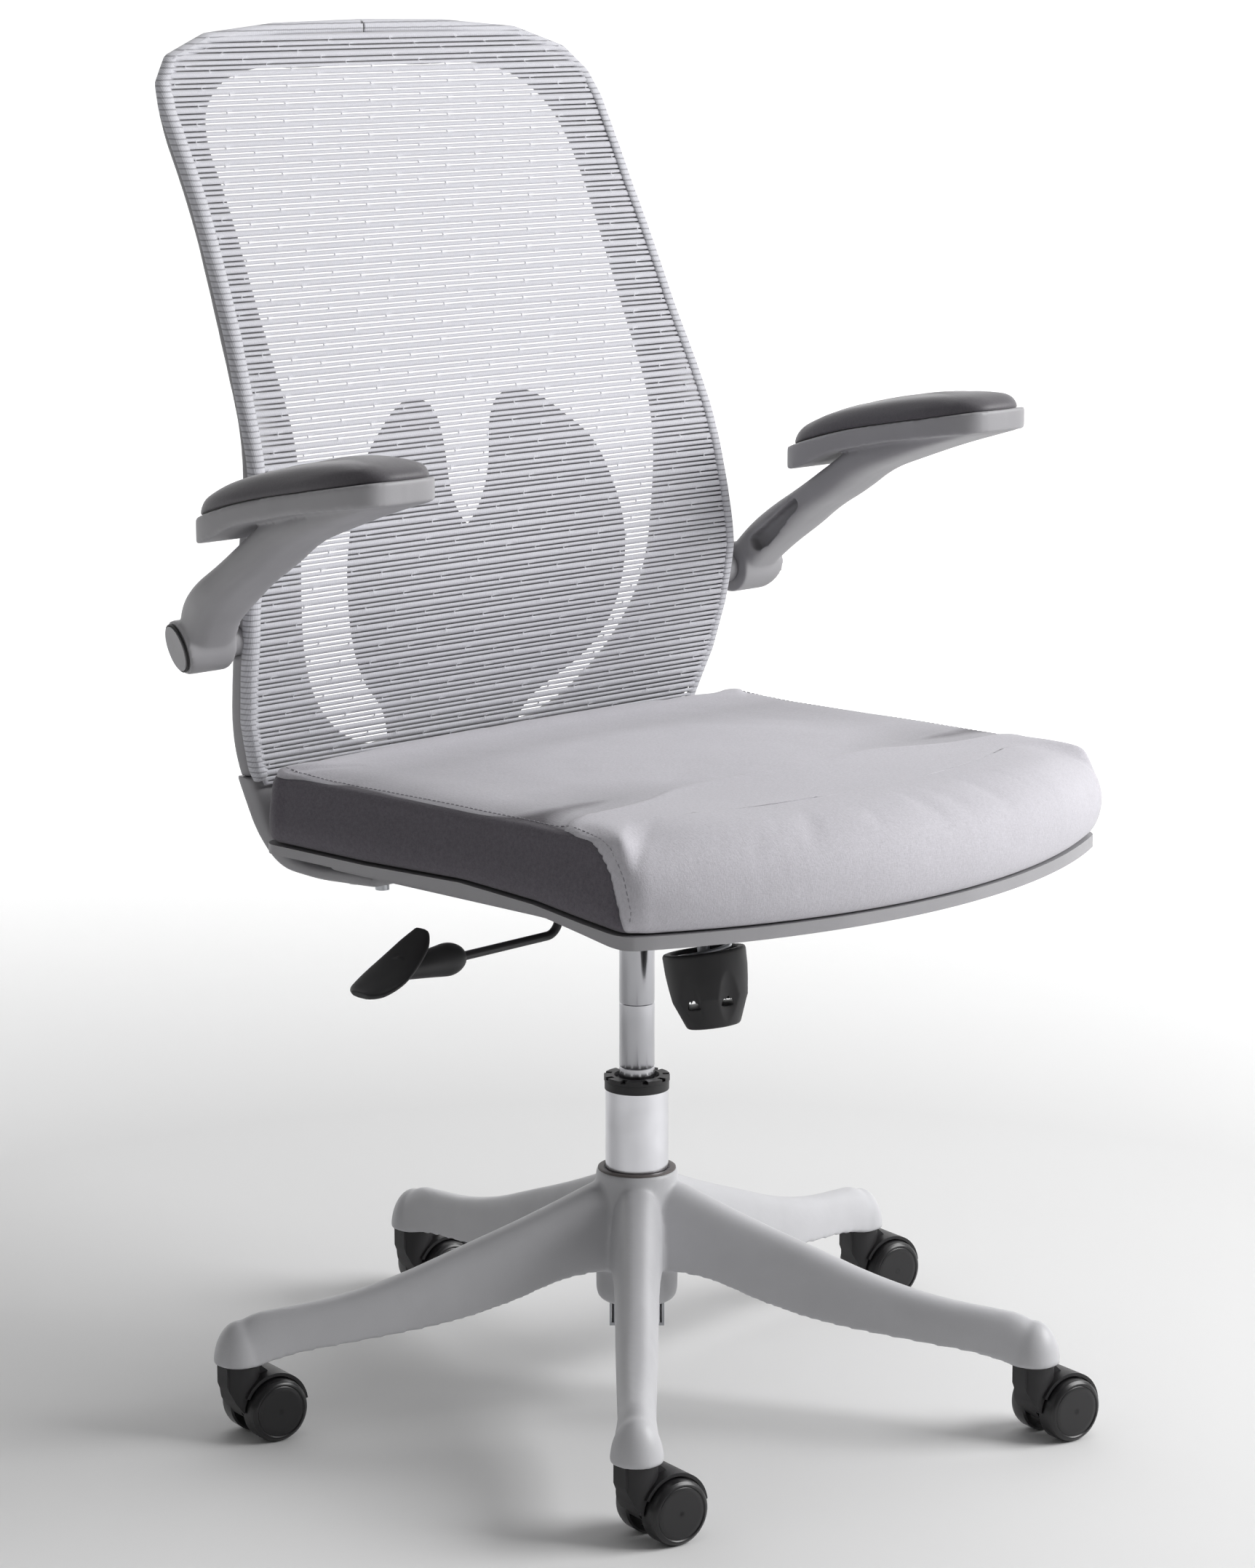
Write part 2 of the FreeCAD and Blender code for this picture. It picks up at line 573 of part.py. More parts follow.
def make_back_frame():
    half_ring = beam([frame_station(row) for row in FRAME_STATIONS], 4.0)
    half_ring = half_ring.cut(box(196, 300, 100, 300, 440, LEG_SEAM))
    half_ring = half_ring.cut(rod(BOSS_R, V(BOSS_IN, PIVOT_Y, PIVOT_Z), V(BOSS_OUT, PIVOT_Y, PIVOT_Z)))
    return fuse([half_ring, mirrored(half_ring)])


def make_back_leg():
    """Moulded leg from the frame's lower corner, down behind the seat and forward under the pan."""
    stations = [(V(218, 191, LEG_SEAM), V(22, 0, 0), V(0, 10, 0)),
                (V(213, 185, 490), V(22, 0, 0), V(0, 9.5, -3)),
                (V(208, 175, 466), V(23, 0, 0), V(0, 6.5, -5)),
                (V(204, 160, 451), V(24, 0, 0), V(0, 3.5, -6)),
                (V(201, 140, 446.2), V(25, 0, 0), V(0, 0, -5.6)),
                (V(200, 100, 446.2), V(25, 0, 0), V(0, 0, -5.6)),
                (V(200, 62, 447), V(22, 0, 0), V(0, 0, -4.8))]
    leg = beam(stations, 5.0)
    holes = [cyl(3, 430, 455, x, y) for x, y in LEG_BOLT_PLACES]
    return leg.cut(group(holes))


def make_back_bolts():
    bolts = []
    for side in (-1, 1):
        for x, y in LEG_BOLT_PLACES:
            head = cyl(5.5, 436.4, 440.6, side * x, y)
            bolts.append(fuse([cyl(3, 436.4, PAN_LOW + 3.5, side * x, y), head]))
    return group(bolts)


def sheet_loft(surface, half, low, high, thick, rows=14):
    """Curved slab: front face y = surface(x, z), given thickness behind it."""
    wires = []
    for i in range(rows + 1):
        z = low + (high - low) * i / rows
        front = [V(half * share, surface(half * share, z), z) for share in (-1, -0.5, 0, 0.5, 1)]
        back = [point + V(0, thick, 0) for point in front]
        sides = [Part.makeLine(front[-1], back[-1]), Part.makeLine(back[0], front[0])]
        wires.append(Part.Wire([spline(front), sides[0], spline(back), sides[1]]))
    return loft(wires)


def make_back_mesh():
    corner = [(234, 1020), (229, 1040), (211, 1060), (165, 1076), (90, 1082.5), (0, 1084)]
    right = [(half, z) for z, half in BACK_HALF if 500 < z < 1000]
    outline = [(232, 505)] + right + corner
    loop = outline + [(-x, z) for x, z in reversed(outline[:-1])]
    plan = prism(polygon([V(x, 0, z) for x, z in loop]), V(0, 400, 0))
    return sheet_loft(mesh_y, 268, 500, 1090, 1.2).common(plan)


LUMBAR_LINE = [(495, 222), (520, 216), (537, 211), (560, 200), (590, 194), (640, 192), (740, 192),
               (790, 198), (800, 200)]
LUMBAR_HALF = [(0, 686), (10, 696), (20, 716), (25, 742), (29, 770), (38, 786), (56, 792), (78, 785),
               (100, 769), (120, 751), (134, 726), (144, 700), (150, 670), (149, 640), (137, 597),
               (115, 568), (88, 546), (73, 526), (70, 506)]


def lumbar_y(x, z):
    return between(z, LUMBAR_LINE) - 26 * (x / 150) ** 2


def make_lumbar_support():
    right = [V(x, 100, z) for x, z in LUMBAR_HALF]
    left = [V(-x, 100, z) for x, z in reversed(LUMBAR_HALF)]
    edges = [spline(right), Part.makeLine(right[-1], left[0]), spline(left)]
    plan = prism(Part.Wire(edges), V(0, 200, 0))
    return sheet_loft(lambda x, z: lumbar_y(x, z) - 2, 165, 497, 798, 4.0).common(plan)


# ---- flip-up arms (drawn for the sitter's left, +X) ----
# seam between pad and tray, underside of the tray and crown of the pad, as (y, z)
PAD_SEAM = [(120, 729.5), (100, 735.5), (72, 744), (38, 753), (4, 760), (-30, 766), (-62, 771.5),
            (-102, 778.5)]
TRAY_LOW = [(-102, 759.7), (-67, 756), (-36, 751), (-4, 746), (28, 739), (60, 731), (80, 722),
            (96, 716.5), (120, 713)]
PAD_CROWN = [(-102, 780.5), (-88, 788), (-60, 790), (-20, 785.5), (15, 779.5), (50, 771.5), (80, 763),
             (100, 754), (114, 743), (120, 735)]


def pad_plan(inset):
    half_length = (PAD_REAR - PAD_FRONT) / 2 - inset
    points = []
    for a, b in superellipse(1, 1, 5.0, 36):
        y = (PAD_REAR + PAD_FRONT) / 2 + half_length * b
        x = PAD_X + PAD_SPLAY * (PAD_REAR - y) + (PAD_HALF - inset) * a
        points.append(V(x, y, 690))
    return prism(ring_wire(points), V(0, 0, 140))


def smooth_band(top, low, x0, x1):
    """Prism along X between two smooth (y, z) lines."""
    upper = [V(x0, y, z) for y, z in top]
    lower = [V(x0, y, z) for y, z in low]
    ends = [Part.makeLine(upper[-1], lower[0]), Part.makeLine(lower[-1], upper[0])]
    return prism(Part.Wire([spline(upper), ends[0], spline(lower), ends[1]]), V(x1 - x0, 0, 0))


def make_arm_pad():
    lifted = [(y, z + 0.2) for y, z in PAD_SEAM]
    return smooth_band(lifted, PAD_CROWN, 250, 390).common(pad_plan(1.0))


# leg of the arm, pivot end first: centre (x, y, z), half width in X, half depth, lean of the section
LEG_STATIONS = [
    (298.5, 166, 627, 20.0, 15.0, 27), (302.0, 152, 644, 22.5, 15.0, 30), (308.0, 136.5, 660, 25.0, 14.9, 40),
    (311.0, 116.5, 675, 28.0, 13.5, 50), (312.0, 93.5, 690.5, 28.5, 12.0, 62),
    (313.5, 66, 708, 29.0, 13.0, 70), (314.5, 39.5, 725, 29.5, 12.5, 73), (316.0, 8.6, 735.7, 30.0, 10.0, 75),
    (318.0, -28.5, 745.5, 31.0, 6.5, 77), (320.5, -61, 753.5, 32.0, 4.0, 80),
    (322.0, -84, 759, 33.0, 2.4, 82)]


def cap_normal():
    back, down = radians(CAP_BACK), radians(CAP_DOWN)
    return V(cos(back) * cos(down), sin(back) * cos(down), -sin(down))


def cap_centre():
    return V(KNUCKLE_OUT, PIVOT_Y, PIVOT_Z)


def make_arm_shell():
    """One moulding: tray under the pad, leg, and the knuckle that turns on the pin."""
    tray = smooth_band(PAD_SEAM, TRAY_LOW, 250, 390).common(pad_plan(0))
    stations = []
    for x, y, z, half_x, half_d, lean in LEG_STATIONS:
        turn = radians(lean)
        stations.append((V(x, y, z), V(half_x, 0, 0), V(0, half_d * cos(turn), half_d * sin(turn))))
    leg = beam(stations, 3.5)
    knuckle = rod(KNUCKLE_R, V(KNUCKLE_IN, PIVOT_Y, PIVOT_Z), V(KNUCKLE_OUT + 8, PIVOT_Y, PIVOT_Z))
    beyond_face = rod(KNUCKLE_R + 2, cap_centre(), cap_centre() + cap_normal() * 30)
    recess = [(99, 691), (95, 687), (97, 682), (138, 643), (144, 642), (149, 653)]
    pocket = prism(polygon([V(270, y, z) for y, z in recess]), V(24, 0, 0))
    body = fuse([tray, leg, knuckle]).cut(beyond_face).cut(pocket)
    bore_end = V(KNUCKLE_OUT - 10, PIVOT_Y, PIVOT_Z)
    return body.cut(rod(ARM_PIN_R + RUN, V(260, PIVOT_Y, PIVOT_Z), bore_end))


def make_arm_cap():
    """Round cover disc on the knuckle's canted outer face."""
    return rod(CAP_R, cap_centre(), cap_centre() + cap_normal() * CAP_T)


def make_arm_pin():
    return rod(ARM_PIN_R, V(BOSS_IN + 1, PIVOT_Y, PIVOT_Z), V(KNUCKLE_OUT - 11, PIVOT_Y, PIVOT_Z))


def make_arm_boss():
    boss = rod(BOSS_R, V(BOSS_IN, PIVOT_Y, PIVOT_Z), V(BOSS_OUT, PIVOT_Y, PIVOT_Z))
    return boss.cut(rod(ARM_PIN_R, V(BOSS_IN + 1, PIVOT_Y, PIVOT_Z), V(BOSS_OUT + 1, PIVOT_Y, PIVOT_Z)))


def main():
    os.makedirs("parts", exist_ok=True)
    save(make_star_base(), "star_base")
    save(make_column_tube(), "column_tube")
    save(make_column_guide(), "column_guide")
    save(make_retaining_clip(), "retaining_clip")
    save(make_thrust_bearing(), "thrust_bearing")
    save(make_piston_rod(), "piston_rod")
    save(make_gas_cylinder(), "gas_cylinder")
    save(make_release_pin(), "release_pin")

    save(make_caster_stems(), "caster_stems")
    hood, axle = make_caster_hood(), make_caster_axle()
    wheel_a, wheel_b = make_caster_wheel(-1), make_caster_wheel(1)
    for number, azimuth in enumerate(base_azimuths(), 1):
        save(castor_frame(hood, azimuth), "caster_%d_hood" % number)
        save(castor_frame(axle, azimuth), "caster_%d_axle" % number)
        save(castor_frame(wheel_a, azimuth), "caster_%d_wheel_a" % number)
        save(castor_frame(wheel_b, azimuth), "caster_%d_wheel_b" % number)

    save(make_tilt_housing(), "tilt_housing")
    save(make_tilt_pin(), "tilt_pin")
    save(make_lock_bar(), "lock_bar")
    save(make_lever_pin(), "lever_pin")
    save(make_lift_lever(), "lift_lever")
    save(make_lever_paddle(), "lever_paddle")
    save(make_tension_bolt(), "tension_bolt")
    save(make_tension_spring(), "tension_spring")
    save(make_tension_knob(), "tension_knob")
    save(make_seat_plate(), "seat_plate")

    save(make_seat_pan(), "seat_pan")
    save(make_seat_board(), "seat_board")
    save(make_seat_cushion(), "seat_cushion")
    save(make_seat_bolts(), "seat_bolts")

    save(make_back_frame(), "back_frame")
    save(make_back_mesh(), "back_mesh")
    save(make_lumbar_support(), "lumbar_support")
    save(make_back_bolts(), "back_bolts")
    leg, boss, pin = make_back_leg(), make_arm_boss(), make_arm_pin()
    shell, pad, cap = make_arm_shell(), make_arm_pad(), make_arm_cap()
    pairs = {"back_leg": leg, "arm_boss": boss, "arm_pin": pin, "arm_shell": shell, "arm_pad": pad,
             "arm_cap": cap}
    for name, shape in pairs.items():
        save(shape, name + "_left")
        save(mirrored(shape), name + "_right")


main()
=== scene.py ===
import json
from math import cos, pi, radians, sin

import bpy
import numpy as np
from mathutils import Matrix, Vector, noise
from mathutils.bvhtree import BVHTree


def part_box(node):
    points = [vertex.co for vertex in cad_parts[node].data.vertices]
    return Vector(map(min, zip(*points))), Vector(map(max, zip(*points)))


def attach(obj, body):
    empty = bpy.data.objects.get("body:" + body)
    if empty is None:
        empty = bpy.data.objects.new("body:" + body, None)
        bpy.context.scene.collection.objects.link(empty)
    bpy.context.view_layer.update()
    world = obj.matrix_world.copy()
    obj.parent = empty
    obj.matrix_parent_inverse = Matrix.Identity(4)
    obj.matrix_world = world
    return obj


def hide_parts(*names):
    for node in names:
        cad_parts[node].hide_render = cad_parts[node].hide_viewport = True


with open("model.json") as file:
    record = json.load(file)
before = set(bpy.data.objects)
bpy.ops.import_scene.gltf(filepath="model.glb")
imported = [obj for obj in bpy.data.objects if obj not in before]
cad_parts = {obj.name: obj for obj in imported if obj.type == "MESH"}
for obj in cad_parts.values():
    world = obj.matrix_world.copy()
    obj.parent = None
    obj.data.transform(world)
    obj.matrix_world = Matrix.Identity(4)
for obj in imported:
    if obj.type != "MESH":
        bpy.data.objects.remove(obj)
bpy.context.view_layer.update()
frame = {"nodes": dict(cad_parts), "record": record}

# Mesh-back swivel chair: covers, mesh, pads, smoothed mouldings and materials round the CAD frame.
# Scene lengths are metres; mm() turns millimetres into metres, and tables say so where they hold millimetres.
MM = 0.001
NODES = frame["nodes"]


# ---- helpers: numbers and meshes ----
def mm(*values):
    return values[0] * MM if len(values) == 1 else tuple(v * MM for v in values)


def between(value, table):
    """Straight-line reading of a (key, value) table with rising keys."""
    return float(np.interp(value, [k for k, _ in table], [v for _, v in table]))


def surface_of(obj):
    """A tree for casting rays at an object's mesh, which lies in the row frame."""
    return BVHTree.FromPolygons([v.co.copy() for v in obj.data.vertices],
                                [tuple(p.vertices) for p in obj.data.polygons])


def hit(tree, start, direction):
    """First place that a ray meets the surface, or None."""
    return tree.ray_cast(Vector(start), Vector(direction).normalized())[0]


def shade_smooth(mesh):
    mesh.polygons.foreach_set("use_smooth", [True] * len(mesh.polygons))


def linked(name, data):
    """A new object in the scene that holds this mesh, light or camera."""
    obj = bpy.data.objects.new(name, data)
    bpy.context.scene.collection.objects.link(obj)
    return obj


def make_object(name, vertices, faces):
    mesh = bpy.data.meshes.new(name)
    mesh.from_pydata([tuple(v) for v in vertices], [], faces)
    mesh.validate()
    shade_smooth(mesh)
    return linked(name, mesh)


def apply_modifiers(obj):
    """Bake the modifiers of an object into its mesh."""
    graph = bpy.context.evaluated_depsgraph_get()
    mesh = bpy.data.meshes.new_from_object(obj.evaluated_get(graph))
    obj.modifiers.clear()
    obj.data = mesh


def subdivide(obj):
    fine = obj.modifiers.new("fine", "SUBSURF")
    fine.levels = fine.render_levels = 1
    apply_modifiers(obj)


def grid_faces(rows, columns, closed_rows=False, closed_columns=False, flip=False):
    """Quads of a grid whose vertex number is row * columns + column."""
    faces = []
    for r in range(rows if closed_rows else rows - 1):
        for c in range(columns if closed_columns else columns - 1):
            r1, c1 = (r + 1) % rows, (c + 1) % columns
            face = (r * columns + c, r * columns + c1, r1 * columns + c1, r1 * columns + c)
            faces.append(face[::-1] if flip else face)
    return faces


def outward(points):
    """Outward normals of an anticlockwise closed plan outline, each from the points two to either side."""
    along = np.roll(points, -2, axis=0) - np.roll(points, 2, axis=0)
    normals = np.column_stack([along[:, 1], -along[:, 0]])
    return normals / np.linalg.norm(normals, axis=1)[:, None]


def smooth_noise(point, scale):
    return noise.noise(Vector(point) * scale)


# ---- helpers: materials ----
def feed(tree, socket, value):
    """Give an input either a link or a constant."""
    if isinstance(value, bpy.types.NodeSocket):
        tree.links.new(value, socket)
    else:
        socket.default_value = value


def node(tree, kind, inputs=None, **settings):
    made = tree.nodes.new("ShaderNode" + kind)
    for name, value in settings.items():
        setattr(made, name, value)
    for socket, value in (inputs or {}).items():
        feed(tree, made.inputs[socket], value)
    return made


def srgb(r, g, b):
    """Linear colour from 0-255 display values."""
    def one(v):
        v /= 255
        return v / 12.92 if v <= 0.04045 else ((v + 0.055) / 1.055) ** 2.4
    return (one(r), one(g), one(b), 1.0)


def shade(colour, factor):
    return (colour[0] * factor, colour[1] * factor, colour[2] * factor, 1.0)


def new_material(name, **sockets):
    material = bpy.data.materials.new(name)
    material.use_nodes = True
    tree = material.node_tree
    shader = tree.nodes["Principled BSDF"]
    for socket, value in sockets.items():
        shader.inputs[socket.replace("_", " ")].default_value = value
    return material, tree, shader


def object_place(tree):
    return node(tree, "TexCoord").outputs["Object"]


def noise_of(tree, place, scale, detail=2.0, roughness=0.55):
    return node(tree, "TexNoise", {"Vector": place, "Scale": scale, "Detail": detail,
                                   "Roughness": roughness}).outputs["Fac"]


def ranged(tree, value, low, high, from_low=0.0, from_high=1.0):
    return node(tree, "MapRange", {"Value": value, "From Min": from_low, "From Max": from_high,
                                   "To Min": low, "To Max": high}).outputs["Result"]


def mixed(tree, factor, colour_a, colour_b, mode="MIX"):
    made = node(tree, "Mix", data_type="RGBA", blend_type=mode)
    for number, value in ((0, factor), (6, colour_a), (7, colour_b)):
        feed(tree, made.inputs[number], value)
    return made.outputs[2]


def math_of(tree, operation, a, b=0.0):
    made = node(tree, "Math", operation=operation)
    for socket, value in zip(made.inputs, (a, b)):
        feed(tree, socket, value)
    return made.outputs[0]


def bumped(tree, shader, height, distance, strength=1.0):
    bump = node(tree, "Bump", {"Height": height, "Distance": distance, "Strength": strength})
    tree.links.new(bump.outputs["Normal"], shader.inputs["Normal"])


def stretched(tree, place, factors):
    """A place scaled by a factor for each axis."""
    return node(tree, "VectorMath", {0: place, 1: factors}, operation="MULTIPLY").outputs[0]


def waves(tree, place, direction, period):
    """Slightly uneven ribs across an axis, from 0 to 1, with the given period in metres."""
    phase_per_unit = 20          # radians that the wave texture advances over one unit at scale 1
    scale = 2 * pi / (phase_per_unit * period)
    return node(tree, "TexWave", {"Vector": place, "Scale": scale, "Distortion": 0.6, "Detail": 1.0,
                                  "Detail Scale": 2.0}, bands_direction=direction).outputs["Fac"]


def plastic(name, colour, roughness, grain=0.00004, spread=0.05, coat=0.0):
    """Moulded plastic: fine moulded grain, faint tone changes and a slightly uneven gloss."""
    material, tree, shader = new_material(name, Roughness=roughness, Coat_Weight=coat, Coat_Roughness=0.15)
    place = object_place(tree)
    tone = noise_of(tree, place, 14.0, 3.0)
    speck = noise_of(tree, place, 900.0, 2.0)
    base = mixed(tree, ranged(tree, tone, 0.0, 1.0, 0.3, 0.7),
                 shade(colour, 1 - spread), shade(colour, 1 + spread))
    base = mixed(tree, ranged(tree, speck, 0.0, 0.10), base, shade(colour, 0.6))
    tree.links.new(base, shader.inputs["Base Color"])
    tree.links.new(ranged(tree, noise_of(tree, place, 60.0), roughness - 0.05, roughness + 0.07),
                   shader.inputs["Roughness"])
    bumped(tree, shader, noise_of(tree, place, 1400.0, 2.0), grain)
    return material


def metal(name, colour, roughness, brush=0.00001, direction=(1.0, 1.0, 0.04)):
    """Plated or painted steel with faint lines along its length."""
    material, tree, shader = new_material(name, Metallic=1.0, Roughness=roughness)
    place = object_place(tree)
    lines = noise_of(tree, stretched(tree, place, direction), 1500.0, 2.0)
    smear = noise_of(tree, place, 30.0, 3.0)
    base = mixed(tree, ranged(tree, smear, 0.0, 1.0, 0.3, 0.7), shade(colour, 0.92), shade(colour, 1.04))
    tree.links.new(base, shader.inputs["Base Color"])
    tree.links.new(ranged(tree, lines, roughness * 0.8, roughness * 1.3), shader.inputs["Roughness"])
    bumped(tree, shader, lines, brush)
    return material


def woven_colour(tree, place, colour, contrast, thread):
    """Colour of a fine crossed weave of short slubs, and its height."""
    def slubs(factors):
        return noise_of(tree, stretched(tree, place, factors), 1.0 / thread, 2.0, 0.6)
    height = math_of(tree, "ADD", slubs((0.35, 1.2, 1.2)), slubs((1.2, 0.35, 0.35)))
    light = ranged(tree, height, 0.0, 1.0, 0.65, 1.35)
    base = mixed(tree, light, shade(colour, 1 - contrast), shade(colour, 1 + contrast))
    blotch = ranged(tree, noise_of(tree, place, 9.0, 3.0), 0.0, 1.0, 0.35, 0.65)
    return mixed(tree, blotch, shade_socket(tree, base, 0.965), base), height


def shade_socket(tree, colour, factor):
    return mixed(tree, 1.0, colour, (factor, factor, factor, 1.0), "MULTIPLY")


WEAVE_DEPTH = 0.00018        # metres


def fabric(name, colour, contrast, thread, depth=WEAVE_DEPTH, sheen=0.25, roughness=0.88, gloss=0.25):
    """Plain weave in one colour; thread is the length of its slubs in metres."""
    material, tree, shader = new_material(name, Roughness=roughness, Sheen_Weight=sheen, Sheen_Roughness=0.45,
                                          Specular_IOR_Level=gloss)
    base, height = woven_colour(tree, object_place(tree), colour, contrast, thread)
    tree.links.new(base, shader.inputs["Base Color"])
    bumped(tree, shader, height, depth)
    return material


SEAT_LIGHT, SEAT_DARK = srgb(188, 186, 192), srgb(92, 88, 95)
# the frame grey is the base's light grey plastic darkened: painted shade for the arm shells, back legs and
# back frame
BASE_GREY, SHADED_FRAME_GREY = srgb(192, 192, 195), srgb(150, 149, 152)
MESH_GREY = srgb(198, 198, 204)


def cushion_fabric():
    """Light weave on top and down the nose, dark weave on the sides, parted at the sewn seam.

    The attribute "panel" is the distance to the seam in metres, positive on the dark side.
    """
    material, tree, shader = new_material("seat_two_tone_weave", Roughness=0.9, Sheen_Weight=0.2,
                                          Sheen_Roughness=0.5, Specular_IOR_Level=0.2)
    place = object_place(tree)
    thread = 0.0011
    light, height = woven_colour(tree, place, SEAT_LIGHT, 0.10, thread)
    dark, _ = woven_colour(tree, place, SEAT_DARK, 0.22, thread)
    panel = node(tree, "Attribute", attribute_name="panel").outputs["Fac"]
    side = ranged(tree, panel, 0.0, 1.0, -0.0002, 0.0002)
    seam = ranged(tree, math_of(tree, "ABSOLUTE", panel), 0.55, 1.0, 0.0002, 0.0022)
    base = mixed(tree, side, light, dark)
    base = mixed(tree, seam, shade_socket(tree, base, 0.45), base)
    tree.links.new(base, shader.inputs["Base Color"])
    bumped(tree, shader, height, WEAVE_DEPTH)
    return material


def mesh_fabric(name, ribs):
    """Knitted mesh yarn: fine upright threads; ribs adds the bound edge's ribs as bumps, with painted shade
    darkening the grooves between them.
    """
    material, tree, shader = new_material(name, Roughness=0.75, Sheen_Weight=0.3, Sheen_Roughness=0.4,
                                          Specular_IOR_Level=0.3)
    place = object_place(tree)
    threads = waves(tree, place, "X", 0.0012)
    fuzz = noise_of(tree, place, 600.0, 3.0, 0.7)
    height = math_of(tree, "ADD", math_of(tree, "MULTIPLY", threads, 0.6), fuzz)
    base = mixed(tree, ranged(tree, height, 0.0, 1.0, 0.2, 1.3),
                 shade(MESH_GREY, 0.86), shade(MESH_GREY, 1.08))
    if ribs:
        # painted shade: dark lines in the grooves between the bound edge's ribs
        line = waves(tree, place, "Z", 0.0044)
        base = mixed(tree, ranged(tree, line, 0.0, 0.75, 0.25, 0.0), base, shade(MESH_GREY, 0.32))
        height = math_of(tree, "ADD", height, line)
    tree.links.new(base, shader.inputs["Base Color"])
    bumped(tree, shader, height, 0.00015)
    return material


def wood(name):
    material, tree, shader = new_material(name, Roughness=0.7)
    place = object_place(tree)
    rings = waves(tree, place, "Y", 0.006)
    base = mixed(tree, rings, srgb(196, 160, 118), srgb(170, 132, 92))
    tree.links.new(base, shader.inputs["Base Color"])
    bumped(tree, shader, noise_of(tree, place, 300.0), 0.0001)
    return material


MATERIALS = {
    "base_plastic": plastic("base_plastic", BASE_GREY, 0.42),
    # frame plastic: the base's plastic, with painted shade in its darker colour
    "frame_plastic": plastic("frame_plastic", SHADED_FRAME_GREY, 0.45),
    "black_plastic": plastic("black_plastic", srgb(30, 29, 31), 0.50, 0.00006, 0.12),
    "wheel_plastic": plastic("wheel_plastic", srgb(22, 21, 23), 0.34, 0.00002, 0.15, 0.15),
    "column_steel": metal("column_steel", srgb(226, 226, 230), 0.22),
    "piston_chrome": metal("piston_chrome", srgb(190, 190, 194), 0.20),
    "black_steel": plastic("black_steel", srgb(38, 37, 39), 0.38, 0.00005, 0.1),
    "zinc_steel": metal("zinc_steel", srgb(180, 182, 186), 0.35),
    "seat_board_wood": wood("seat_board_wood"),
    "seat_fabric": cushion_fabric(),
    "mesh_fabric": mesh_fabric("mesh_fabric", False),
    "mesh_edge": mesh_fabric("mesh_edge", True),
    "arm_pad_fabric": fabric("arm_pad_fabric", srgb(74, 71, 76), 0.16, 0.0009, 0.00008, 0.35, 0.5, 0.5),
    "thread": fabric("thread", srgb(150, 148, 154), 0.2, 0.0008),
    "hub_cap": plastic("hub_cap", srgb(92, 86, 84), 0.5),
}


def dressed(obj, slot_name, body, *replaced, material=None):
    """Give a made piece its finish, its body and the CAD nodes that it stands for."""
    obj.data.materials.clear()
    obj.data.materials.append(MATERIALS[material or slot_name])
    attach(obj, body)
    if replaced:
        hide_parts(*replaced)
    return obj


# ---- CAD nodes: finish and shading ----
def dress_cad_nodes():
    for part in frame["record"]["subparts"]:
        obj = NODES[part["node"]]
        obj.data.materials.clear()
        obj.data.materials.append(MATERIALS[part["material_slot"]])
        shade_smooth(obj.data)
        weld = obj.modifiers.new("weld", "WELD")
        weld.merge_threshold = 0.00001
        split = obj.modifiers.new("creases", "EDGE_SPLIT")
        split.split_angle = radians(32)


# ---- smoothed mouldings made from CAD nodes ----
def softened(source, name, voxel, rounds):
    """A copy of a CAD node, remeshed finely and evened so that its edges and joins become fillets."""
    obj = linked(name, NODES[source].data.copy())
    remesh = obj.modifiers.new("remesh", "REMESH")
    remesh.mode = "VOXEL"
    remesh.voxel_size = voxel
    even = obj.modifiers.new("even", "SMOOTH")
    even.factor = 0.5
    even.iterations = rounds
    apply_modifiers(obj)
    shade_smooth(obj.data)
    return obj


def make_skin(source, name, voxel, rounds, slot_name, body):
    """The smoothed stand-in for a CAD node; its voxel size is in millimetres."""
    dressed(softened(source, name, mm(voxel), rounds), slot_name, body, source)


# ---- cloth ----
CLOTH_STEPS = 20
HELD_RINGS = 3               # lowest rings of a cover, which the simulation holds in place


def puffed(obj, held, pressure, cap):
    """Blow a closed cover up a little with a short cloth simulation; no point moves further than cap."""
    before = np.array([v.co for v in obj.data.vertices])
    obj.vertex_groups.new(name="held").add(held, 1.0, "REPLACE")
    cloth = obj.modifiers.new("cloth", "CLOTH")
    cloth.settings.quality = 4
    cloth.settings.mass = 0.3
    cloth.settings.tension_stiffness = 12
    cloth.settings.compression_stiffness = 12
    cloth.settings.bending_stiffness = 0.6
    cloth.settings.use_pressure = True
    cloth.settings.uniform_pressure_force = pressure
    cloth.settings.vertex_group_mass = "held"
    cloth.settings.effector_weights.gravity = 0.0
    cloth.collision_settings.use_collision = False
    for step in range(1, CLOTH_STEPS + 1):
        bpy.context.scene.frame_set(step)
    graph = bpy.context.evaluated_depsgraph_get()
    after = np.array([v.co for v in obj.evaluated_get(graph).data.vertices])
    obj.modifiers.clear()
    bpy.context.scene.frame_set(1)
    moved = after - before
    length = np.maximum(np.linalg.norm(moved, axis=1), 1e-9)
    moved *= (cap * np.tanh(length / cap) / length)[:, None]
    obj.data.vertices.foreach_set("co", (before + moved).astype(np.float32).ravel())
    obj.data.update()


# ---- seat cushion ----
# the sewn seam in millimetres: its height at each y along the top, and its y at each height down the nose
SEAM_TOP = [(-187, 529.0), (-143, 530), (-80, 528.5), (-15, 529), (53, 529.5), (101, 528), (136, 525),
            (170, 525)]
SEAM_FRONT = [(461, -246), (474, -245), (493, -239), (513, -230), (526, -211), (529, -187), (531, -150)]
